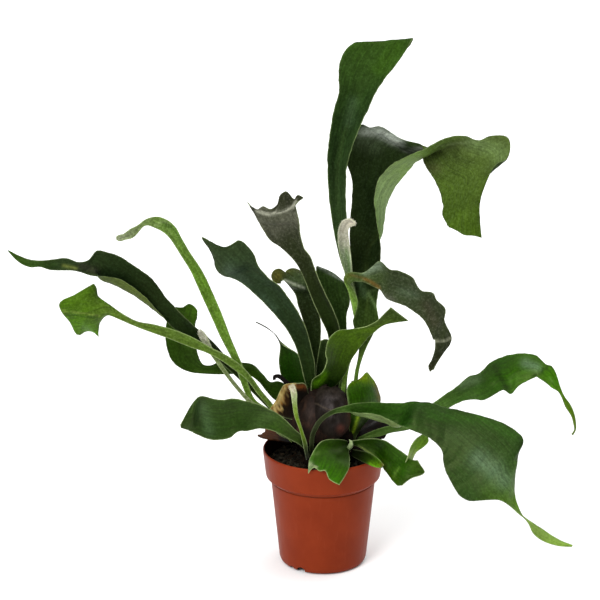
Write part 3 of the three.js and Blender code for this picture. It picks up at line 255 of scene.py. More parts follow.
# Rows of the fronds, from the root to the tip. Each row goes from the left margin to the right margin
# as seen on the upper face looking along the frond, and is across, up, depth, across, up, depth and
# so on. Two free shield fronds are drawn in the same way.
FRONDS = {
    "frond_tall_front": [
        (18, 157, 8, 24, 157, 8), (21, 192, 8, 27, 192, 8), (29, 212, 8, 35, 212, 8),
        (32, 227, 8, 38, 227, 8), (32, 242, 8, 38, 242, 8), (29, 257, 8, 35, 257, 8),
        (26, 272, 8, 32, 272, 8), (18, 295, 9, 27, 295, 8), (13, 315, 8, 26, 317, 6),
        (9, 337, 7, 17, 337, 10, 24, 339, 2), (6, 362, 7, 15, 362, 11, 23, 362, 0),
        (4.5, 392, 8, 15, 391, 14, 24, 389, -2), (6, 417, 10, 19, 416, 18, 31, 415, 0),
        (10, 442, 12, 27, 440, 21, 41, 438, 4), (16, 467, 13, 36, 465, 22, 55, 468, 8),
        (16, 489, 14, 42, 487, 20, 70, 488, 8), (21, 505, 16, 50, 503, 18, 81, 503, 4),
        (32, 514.5, 20, 61, 516, 18, 90, 518.5, 2), (37, 509, 30, 63, 507, 29, 87, 511, 14),
        (38, 495, 34, 49, 501, 35, 59, 493, 34, 67, 501, 31, 73, 498, 26),
    ],
    "frond_tall_back": [
        (30, 165, 0, 35, 165, -1), (32, 185, -2, 36, 185, -3), (35, 199, -4, 40, 200, -5),
        (36, 211, -6, 45, 212, -7), (33, 224, -8, 51, 224, -10),
        (30, 236, -8, 43, 236, -5, 56, 237, -12), (33, 245, -6, 44, 247, -2, 54, 251, -11),
        (34.5, 255, -3, 45, 257, 2, 54, 257, -9), (31, 265, 11, 45, 266, 6, 56, 267, -6),
        (29, 277, 13, 45, 278, 11, 57, 279, -3), (28.5, 289, 12, 43, 289, 15, 57, 289, 1),
        (27, 309, 12, 48, 309, 18, 57.8, 309, 5), (27, 322, 13, 58.4, 322, 18, 56.3, 322, 1),
        (27, 335, 13, 60, 334, 22, 54, 335, -2), (29, 357, 15, 64, 356, 26, 51.5, 356, -8),
        (29, 377, 16, 74, 374, 27, 55.5, 377, -14), (23, 399, 22, 85, 387, 24, 65, 389, -20),
        (24, 421, 26, 92, 396, 18, 75, 396, -26), (40, 433, 25, 95, 398, 15, 83, 400, -27),
        (46.5, 429.6, 24, 97, 399, 12, 89, 403, -28), (56, 431, 19, 98.5, 400, 9, 95, 405.5, -29),
        (75, 420, 16, 101, 402, 6, 103, 408.5, -30), (99, 411, 6, 117, 407, -8, 124, 419.5, -30),
        (101, 394, -6, 133, 407, -22, 142, 421.2, -34),
        (109, 381, -16, 142, 400, -32, 156.4, 416.8, -36),
        (114, 372, -23, 147, 392, -39, 169, 421.5, -40),
        (117, 365, -28, 149, 385, -44, 184, 420.5, -44),
        (119, 358, -33, 148, 374, -49, 187.3, 405.5, -50),
        (119.5, 355, -35, 147, 369.5, -51, 184, 397.5, -53),
        (120, 352, -38, 146, 364, -53, 176, 395, -55),
        (119.5, 342, -44, 143, 352, -58, 163.5, 374, -58),
        (124, 333, -52, 142, 339, -64, 157.4, 353, -62),
        (126, 330, -56, 134, 326, -62, 141, 322, -66, 151, 321, -68, 159, 319, -66),
    ],
    "frond_white_young": [
        (15, 160, 2, 20, 160, 2), (20, 192, 3, 25, 192, 3), (27, 212, 3, 32, 212, 3),
        (31, 225, 3, 36, 225, 3), (32, 235, 3, 37, 235, 3), (30, 245, 3, 35, 247, 2),
        (27, 259, 2, 34, 260, 1), (24, 273, 2, 30, 274, 1), (21, 287, 1, 29.5, 287, 0),
        (17, 302, -1, 28, 302, -2), (15, 317, -4, 26, 317, -5), (16, 329, -8, 25, 325, -10),
        (20, 336.5, -12, 26, 329, -15), (27, 338.5, -16, 29, 331, -19), (32, 335, -20, 32, 332, -22),
    ],
    "frond_cup": [
        (5, 158, -2, 11, 158, -2), (7, 185, -3, 14, 185, -3), (7, 205, -4, 17, 205, -5),
        (4, 225, -6, 17, 229, -8), (-3, 240, -8, 12, 244, -10), (-11, 258, -10, 6, 257, -13),
        (-18, 276, -11, -3, 276, -14), (-25, 291, -12, -8, 289, -15), (-33, 301, -12, -12, 300, -16),
        (-43, 310, -12, -19, 310, -17), (-53, 317, -13, -22, 321, -18), (-61, 329, -14, -23, 332, -19),
        (-67, 340, -14, -46, 335, -22, -25, 343, -18),
        (-73, 350, -12, -61, 345.5, -19, -48, 343.5, -22, -36, 346.5, -21, -27.5, 353, -14),
        (-73, 351, -6, -61, 343, -9, -48, 340, -10, -36, 344, -9, -26, 354, -6),
        (-76, 357, -4, -66, 347, -3, -60, 351, -2, -52, 348, -1, -45, 353, 1, -42, 363, 3, -37, 366, 4,
         -28, 358, 3, -25, 362, 2, -19, 359, 2),
    ],
    "frond_left_strap": [
        (-11, 156, -7, -3, 156, -7), (-18.5, 177, -10, -7, 179, -9), (-22.8, 195, -12, -8, 195, -11),
        (-28, 212, -14, -12, 212, -14), (-36, 227, -17, -16, 227, -17), (-48, 242, -20, -24, 244, -20),
        (-61, 256, -23, -34, 259, -23), (-74, 268, -26, -43, 271, -26), (-83, 275, -29, -55, 280, -29),
        (-92, 279, -32, -63, 289, -32), (-101, 281.5, -34, -83, 292, -40, -69, 303, -34),
        (-107, 289, -36, -98, 301, -43, -78, 314, -38),
        (-108.5, 295, -36, -112, 305, -42, -121, 320, -50, -98, 310, -44, -85, 317, -40),
    ],
    "frond_curled_behind": [
        (-9, 157, 4, -3, 157, 4), (-10, 192, 5, -2, 192, 5), (-14, 217, 6, -2, 217, 6),
        (-20, 237, 7, -2, 235, 7), (-25, 252, 7, -6, 252, 6), (-28, 263, 6, -11, 264, 4),
        (-38, 276, 5, -26, 271, -1, -16, 272, 2), (-40, 277, 8, -28, 277, 6, -16, 278, 7),
        (-42, 273.5, 12, -48, 274.5, 12, -51.7, 280, 13, -49.5, 286.3, 13, -44.5, 288.6, 13,
         -40, 286, 14, -38.7, 281, 14, -37, 286, 15, -33, 288.5, 16, -26, 288, 18, -20, 284, 17,
         -16, 275, 15),
    ],
    "frond_broad_dark": [
        (11, 157, 10, 17, 157, 10), (12, 185, 12, 22, 185, 12), (10, 205, 13, 23, 207, 13),
        (6, 225, 14, 24, 227, 14), (2, 242, 15, 24, 242, 15), (-2, 257, 15, 27, 254, 13),
        (-5, 272, 14, 12, 265, 17, 27, 264, 13), (-6, 291, 12, 10, 284, 9, 24, 272, 12),
        (-2, 287, 20, 10, 280, 15, 23, 268, 17), (-1, 281, 24, 11, 274, 20, 22, 263, 19),
    ],
    "frond_right_drooping": [
        (17, 158, -4, 22, 158, -4), (22, 192, -3, 27, 192, -3), (28, 212, -3, 33, 212, -3),
        (31, 227, -2, 36, 227, -2), (31, 242, -2, 36, 242, -2), (28, 257, -3, 35, 257, -3),
        (24, 269, -4, 30.5, 269, -4), (20.5, 278, -5, 28, 273, -6), (24, 284, -7, 32, 275.5, -8),
        (31, 285, -9, 35, 275, -10), (39, 284, -12, 40, 275, -13), (49, 290, -15, 49, 271, -16),
        (57, 296, -18, 58, 282, -14, 57, 267, -20), (67, 288, -22, 64, 273, -18, 63, 259, -25),
        (77, 286, -26, 73, 271, -23, 70, 255, -30), (89, 280, -31, 84, 266, -28, 80, 252, -36),
        (98, 267, -36, 93, 258, -34, 90, 246, -41), (110, 264.5, -42, 103, 252, -40, 98, 240, -46),
        (114, 257, -47, 109, 244, -47, 104, 232, -51), (123, 247, -54, 116, 235, -52, 108, 223, -56),
        (121.5, 238, -57, 117, 228, -58, 110, 218, -60), (129, 219, -62, 121, 216, -66, 112, 216, -66),
        (127, 212, -63, 120, 210, -65, 112, 208, -65), (124, 208, -63, 117, 204, -64, 109, 198, -64),
        (115, 195, -65, 105.5, 190, -65), (111, 188, -66, 107, 185, -66),
    ],
    "frond_bright_short": [
        (-10, 155, -15, -1, 154, -12, 7, 154, -10), (-12, 170, -18, -1, 169, -12, 11, 169, -9),
        (-10, 178, -21, 5, 177, -13, 18, 177, -8), (-1, 184, -24, 9, 186, -13, 24, 186, -8),
        (4, 196, -25, 12, 196, -14, 28, 196, -9), (2.5, 205, -25, 14, 206, -15, 34, 205, -11),
        (5, 216, -24, 19, 215, -16, 40, 213, -13), (14, 226, -20, 27, 222, -16, 46, 220, -15),
        (28, 228, -18, 38, 226, -18, 51, 224, -18), (43, 230.5, -19, 57, 229, -19),
        (53, 235.5, -21, 62, 232, -21), (60, 242, -24, 71, 234, -24),
        (68, 250, -26, 77, 243, -26, 86, 236, -26),
    ],
    "frond_short_dark": [
        (-6, 157, 1, 0, 157, 1), (-7, 179, 1, 5, 179, 1), (-6, 195, 1, 8, 195, 1),
        (-4, 207, 1, 8, 207, 1), (-2.5, 216, 0, 3, 218, 1, 8, 216, 2),
    ],
    "frond_pointed": [
        (-20, 153, 2, -12, 153, 2), (-27, 163, 2, -13, 163, 2), (-37, 173, 3, -14, 175, 2),
        (-42.5, 184, 4, -17.5, 187, 1), (-44, 197, 4, -22, 197, 0), (-43, 207, 4, -26, 204, 0),
        (-43, 212, 3, -34, 208.5, 1), (-44, 215.5, 2, -41, 213, 1), (-48, 222, 1, -46, 221, 1),
        (-53, 227.5, 0, -52, 226, 0), (-67, 235.6, -3, -67, 234.4, -3),
    ],
    "frond_left_arching": [
        (-30, 119, -2, -27, 122, -2), (-40, 129, -4, -37, 132, -4), (-55, 142, -6, -51, 146, -6),
        (-73, 155, -8, -68, 158, -8), (-81, 172, -8, -75, 175, -8), (-87, 189, -8, -80, 191, -8),
        (-93, 202, -8, -85, 203, -8), (-101, 217, -8, -91, 217, -8), (-111, 239, -8, -100, 241, -8),
        (-122, 263, -8, -109, 262, -8), (-133, 287, -8, -121, 287, -8), (-143, 303, -8, -133, 305, -8),
        (-152, 317, -9, -140, 317, -7), (-160, 325, -11, -148, 331, -6),
        (-168, 329, -13, -157, 338, -6), (-175, 331.5, -14, -167, 340.5, -8),
        (-180, 330, -15, -177, 338, -11), (-184, 325, -16, -185, 332, -14),
        (-190, 319, -17, -193, 328, -15), (-198, 317, -18, -200, 323, -16),
        (-204, 315.7, -19, -204.7, 322, -17), (-206.4, 317.6, -19, -206.7, 320.3, -18),
    ],
    "frond_left_longest": [
        (-25, 122, 3, -22, 126, 3), (-36, 133, 2, -33, 137, 2), (-55, 149, 1, -52, 152, 1),
        (-66, 160, 0, -63, 163, 0), (-77, 171, -1, -73, 175, -1), (-94, 187, -2, -89, 191, -2),
        (-111, 202, -3, -104, 209, -3), (-125, 213, -5, -116, 221, -5), (-139, 223, -8, -126, 229, -7),
        (-151, 230, -11, -136, 238, -10), (-160, 240, -15, -157, 239, -10, -146, 248, -12),
        (-171, 253, -20, -166, 245, -13, -157, 260, -14),
        (-181, 263, -24, -179, 255, -16, -167, 274, -16),
        (-193, 272, -27, -193, 264, -19, -175, 282, -18),
        (-203, 278, -29, -208, 272, -21, -188, 291, -20),
        (-215, 280, -30, -222, 277.5, -24, -201, 299.5, -22),
        (-226, 280.5, -29, -228, 287, -26, -214, 304.5, -24), (-235, 282, -28, -226, 306.5, -26),
        (-240, 284, -28, -233, 298, -27), (-248, 286, -29, -243, 295, -28),
        (-261, 286.5, -30, -257, 299, -29), (-273, 287, -31, -271, 297.5, -31),
        (-283, 290, -33, -283, 296.5, -33), (-292, 289.5, -35, -293, 297.5, -36),
        (-303, 294, -38, -304, 301.5, -39), (-315, 306, -42, -314.5, 307, -42),
    ],
    "frond_left_flag": [
        (-31, 114, -12, -28, 117, -12), (-41, 125, -12, -37, 128, -12),
        (-53, 148, -14, -49, 151.5, -14), (-66, 164, -15, -61, 166, -15),
        (-76, 177, -16, -71, 180, -16), (-87, 186, -16, -81, 191, -16), (-101, 196, -16, -95, 201, -16),
        (-116, 204, -16, -111, 209, -16), (-133, 210, -16, -126, 217.5, -16),
        (-153, 218, -16, -145, 226, -16), (-173, 225, -17, -168, 232.5, -16),
        (-190, 231.5, -18, -186, 236, -17), (-205, 238, -19, -201, 244, -18),
        (-216, 241.5, -20, -214, 246, -23, -213, 252.5, -19),
        (-223, 234, -17, -224, 246, -26, -225, 261.5, -20),
        (-224, 226, -14, -237, 244, -31, -226, 268.5, -21),
        (-224, 220, -12, -228.5, 224.5, -13, -234, 226, -15, -239, 224.5, -17, -243, 222, -18,
         -253, 235, -25, -263.5, 249.5, -33, -264, 252, -33, -248, 262.5, -27, -229.5, 273.5, -22),
    ],
    "frond_left_upturned": [
        (-20, 139, 11, -19, 149, 11), (-31, 147, 12, -29, 157, 12),
        (-40, 155, 12, -39, 163, 14, -38, 173, 12), (-48, 157, 13, -45, 176, 13),
        (-55, 164, 15, -52, 175, 15), (-64, 175, 17, -60, 183, 17), (-74, 182, 19, -70, 192.5, 19),
        (-85, 183, 21, -83, 195, 21), (-101, 182.5, 23, -101, 197, 23), (-116, 183, 25, -111, 192, 25),
        (-131, 184.5, 27, -120, 193, 27), (-143, 189, 28, -125, 203, 28),
        (-152, 198, 29, -127, 214, 28), (-156.5, 212, 30, -128, 225, 28),
        (-157.5, 227, 30, -127.5, 231, 27), (-155, 239, 29, -142, 241, 32, -126, 239, 26),
        (-147, 250, 27, -140, 249.5, 28, -133, 253, 28, -129, 251, 27, -125, 246, 25),
    ],
    "frond_low_left": [
        (-11, 97, -22, -10, 101, -22), (-14, 102, -28, -12.5, 107, -28),
        (-18, 107, -33, -15.5, 112.5, -33), (-23, 112, -37, -19, 120, -37),
        (-33, 117.5, -40, -27, 127, -39.5), (-43, 123, -43, -35, 135, -42),
        (-53, 127, -46, -43, 142, -43), (-63, 128.3, -49, -53, 148, -46),
        (-75, 126, -52, -65, 153, -49), (-85, 125, -55, -78, 156.5, -52),
        (-93, 119, -58, -91, 158.5, -54), (-103, 117, -61, -102, 157.5, -57),
        (-115, 117.8, -64, -111, 158.5, -60), (-125, 122, -66, -120, 161, -63),
        (-133, 126, -68, -131, 140, -72, -127, 158, -66),
        (-139, 128, -70, -137, 135, -71, -134, 148, -68), (-142, 129, -71, -142.5, 132, -71),
    ],
    "frond_crozier": [
        (-16.5, 97, -31, -13.5, 97, -31), (-18, 104, -38, -14.5, 104, -38),
        (-20.3, 114, -42.5, -15.8, 114, -42.5), (-23.5, 127, -44, -20, 127, -44),
        (-28.8, 142, -43, -24.3, 142, -43), (-30.8, 155, -41, -25.8, 155, -41),
        (-32.3, 165, -39, -26, 165, -39), (-34, 170.5, -35, -28.5, 172.5, -34),
        (-33.5, 167.5, -30, -30.5, 169.5, -29),
    ],
    "frond_young_bud": [
        (-27, 115, -5, -25, 118, -5), (-45, 123, -8, -42, 126, -8), (-57, 140, -11, -54, 143, -11),
        (-76, 155.5, -13, -72.5, 158, -13), (-87, 168, -12, -83.5, 170, -12),
        (-98, 182, -11, -94.5, 184, -11), (-108, 196, -10, -104, 198, -10),
        (-117, 209, -10, -111.5, 211, -10), (-122.5, 218, -10, -115.5, 220, -10),
        (-125, 224, -10, -119, 225, -10), (-124.5, 227, -10, -122, 227.5, -10),
    ],
    "shield_green": [
        (24, 106, -14, 26.5, 106, -13.2, 29, 106, -13), (25, 113, -14, 28, 113.5, -12.8, 31, 114, -12),
        (26, 123, -14, 31, 123, -13, 36, 125, -8), (26, 133, -18, 33, 133, -18, 44, 136, -6),
        (26, 145, -24, 37, 145, -22, 53, 147, -4), (25, 156, -27, 39, 156, -23, 58, 157, -2),
        (23.5, 166, -23, 38, 167, -20, 56, 166, 0), (26.5, 173, -15, 38, 176, -13, 52, 175, 0),
        (30, 176, -12, 37, 177.5, -10, 44, 185, -6, 47, 182, -3, 50, 178, 0),
    ],
    "shield_torn": [
        (-18, 140, -23, -14, 162, -18), (-25, 137, -25, -17.5, 173, -20),
        (-38, 139, -26, -25, 174, -21),
        (-53, 148.5, -24, -46.8, 157, -23, -42.8, 166, -21, -38, 172.7, -20, -33, 173.5, -20),
    ],
    "frond_right_longest": [
        (-12, 94, -29, -9, 94, -29), (-13, 102, -33, -9.5, 102, -33), (-13.5, 111, -39, -9, 110, -39),
        (-13, 120, -41, -8.5, 119, -41), (-10, 129, -46, -5.5, 127, -46),
        (-5, 137, -50, -1, 134.5, -51), (2, 143, -54, 5, 139.5, -55), (11, 148, -57, 13, 143.5, -59),
        (22, 151.5, -59, 23, 144.5, -62), (34, 154, -60, 33, 142, -62, 35, 144.5, -68),
        (47, 155, -61, 46, 139, -65, 48, 143.5, -73), (61, 154.5, -62, 60, 135, -68, 61, 140, -78),
        (76, 154, -64, 75, 130, -73, 73, 134, -83), (92, 155.5, -67, 91, 142, -80, 89, 126.5, -88),
        (109, 154, -71, 103, 137, -84, 101, 122, -93), (124, 149.5, -75, 117, 130, -90, 113, 114, -98),
        (140, 146, -80, 129, 121, -96, 119.5, 105, -103),
        (158, 141.5, -86, 141, 112, -103, 120.5, 94, -108),
        (177, 135.5, -92, 153, 101, -110, 124, 83, -113),
        (194, 125.5, -98, 165, 91, -116, 130, 72, -118), (201, 116, -103, 171, 82, -121, 137, 61, -123),
        (196, 104, -107, 174, 74, -125, 147, 56, -127), (194, 91, -111, 179, 69, -127, 160, 56.5, -129),
        (191.5, 75, -116, 184, 63, -128, 175, 57, -131), (193, 59, -121, 187, 51, -132),
        (197, 47, -126, 195, 44.5, -133), (200, 40.5, -130, 200.5, 41, -132),
        (205, 34, -134, 207, 36.2, -132), (211, 22.5, -138, 219, 28.5, -133),
        (222, 15, -141, 230, 21, -135), (235, 11, -143, 240, 15.5, -138),
        (249, 10, -144, 250, 12, -143),
    ],
    "frond_right_upper": [
        (14, 105, -5, 16, 101, -5), (23, 111, -5, 25, 107, -5), (31, 117, -5, 33, 114, -6),
        (41, 122.5, -6, 44, 118, -8), (53, 127.5, -5, 55, 120, -8), (67, 131.5, -2, 68, 124, -5),
        (81, 135, 3, 85, 127, 0), (96, 143, 8, 105, 134, 6), (110, 154, 14, 125, 148, 11),
        (123, 163, 18, 132, 158, 20, 137, 155, 14), (136, 172, 22, 144, 166, 25, 150, 157.5, 17),
        (147, 181.5, 25, 156, 172, 29, 162, 157, 20), (157, 184, 27, 166, 174, 32, 174, 164, 23),
        (167, 194, 29, 174, 180, 34, 181, 167, 25), (179, 200, 31, 184, 183, 36, 188, 162.5, 24),
        (190, 203, 32, 193, 187, 36, 196, 171, 27), (202, 203.8, 32, 203, 190, 35, 205, 176, 29),
        (214, 201, 31, 212, 191, 33, 213, 180, 28), (223, 193, 28, 220, 187, 30, 216, 178.5, 26),
        (229, 191, 26, 226, 182, 29, 223, 174, 24), (234, 182, 24, 229, 169, 22),
        (237, 172, 22, 235, 165.5, 21), (241, 162, 20, 238.5, 160, 20), (248, 152, 18, 242.5, 150, 18),
        (252, 142, 16, 248, 141.5, 16), (253.5, 132, 14, 250.5, 135, 14),
        (252.8, 126, 12, 251.3, 127, 12), (250, 121.5, 10, 248.5, 123, 10),
    ],
    "frond_over_rim": [
        (28, 110, -23, 25, 116, -23), (26, 105, -34, 15, 118, -34), (27, 98.5, -46, -1, 116, -42),
        (26, 88, -58, 10, 96, -54, -12, 101, -48),
        (16.5, 72, -68, 11, 74.5, -68, 6.5, 77.5, -67, 1.5, 86.5, -64, -3.5, 86, -63, -8, 89.5, -62,
         -14.5, 83.5, -62),
    ],
    "frond_right_low": [
        (15, 114, -14, 15, 108, -14), (24, 116, -18, 24, 110, -18), (32, 117, -24, 32, 111, -24),
        (45, 118.5, -31, 42, 106, -30), (57, 118, -38, 51, 98.5, -36),
        (67, 114, -45, 63, 102, -47, 59, 90, -43), (76, 107.5, -52, 71, 96, -54, 65, 83, -50),
        (84, 102, -58, 77, 90, -61, 69, 77, -57), (88, 98, -64, 81, 85, -68, 74, 72, -66),
        (95, 97, -70, 98, 92, -71, 102, 85, -72, 89, 79, -74, 79, 72, -72),
    ],
    "frond_under_leaf": [
        (16, 107, -14, 15, 102, -14), (25, 108, -20, 24, 103, -20), (35, 107, -33, 32, 99, -33),
        (47, 104, -46, 42, 94, -46), (56, 98, -54, 51, 90, -54), (61, 92, -60, 58, 89, -59),
    ],
}

# Tines that grow beside a frond's own blade
SECOND_TINES = {
    "frond_right_low": [
        (81, 91, -62, 90, 97, -60), (85, 101, -65, 94, 105, -63), (88, 111, -68, 101, 110, -66),
        (94, 119, -68, 106, 116, -67), (100, 123, -67, 105, 121, -67),
    ],
}

# How deep a blade is cupped, as a share of its width, where that isn't BLADE_CUP
CUPS = {"frond_white_young": 0.35}

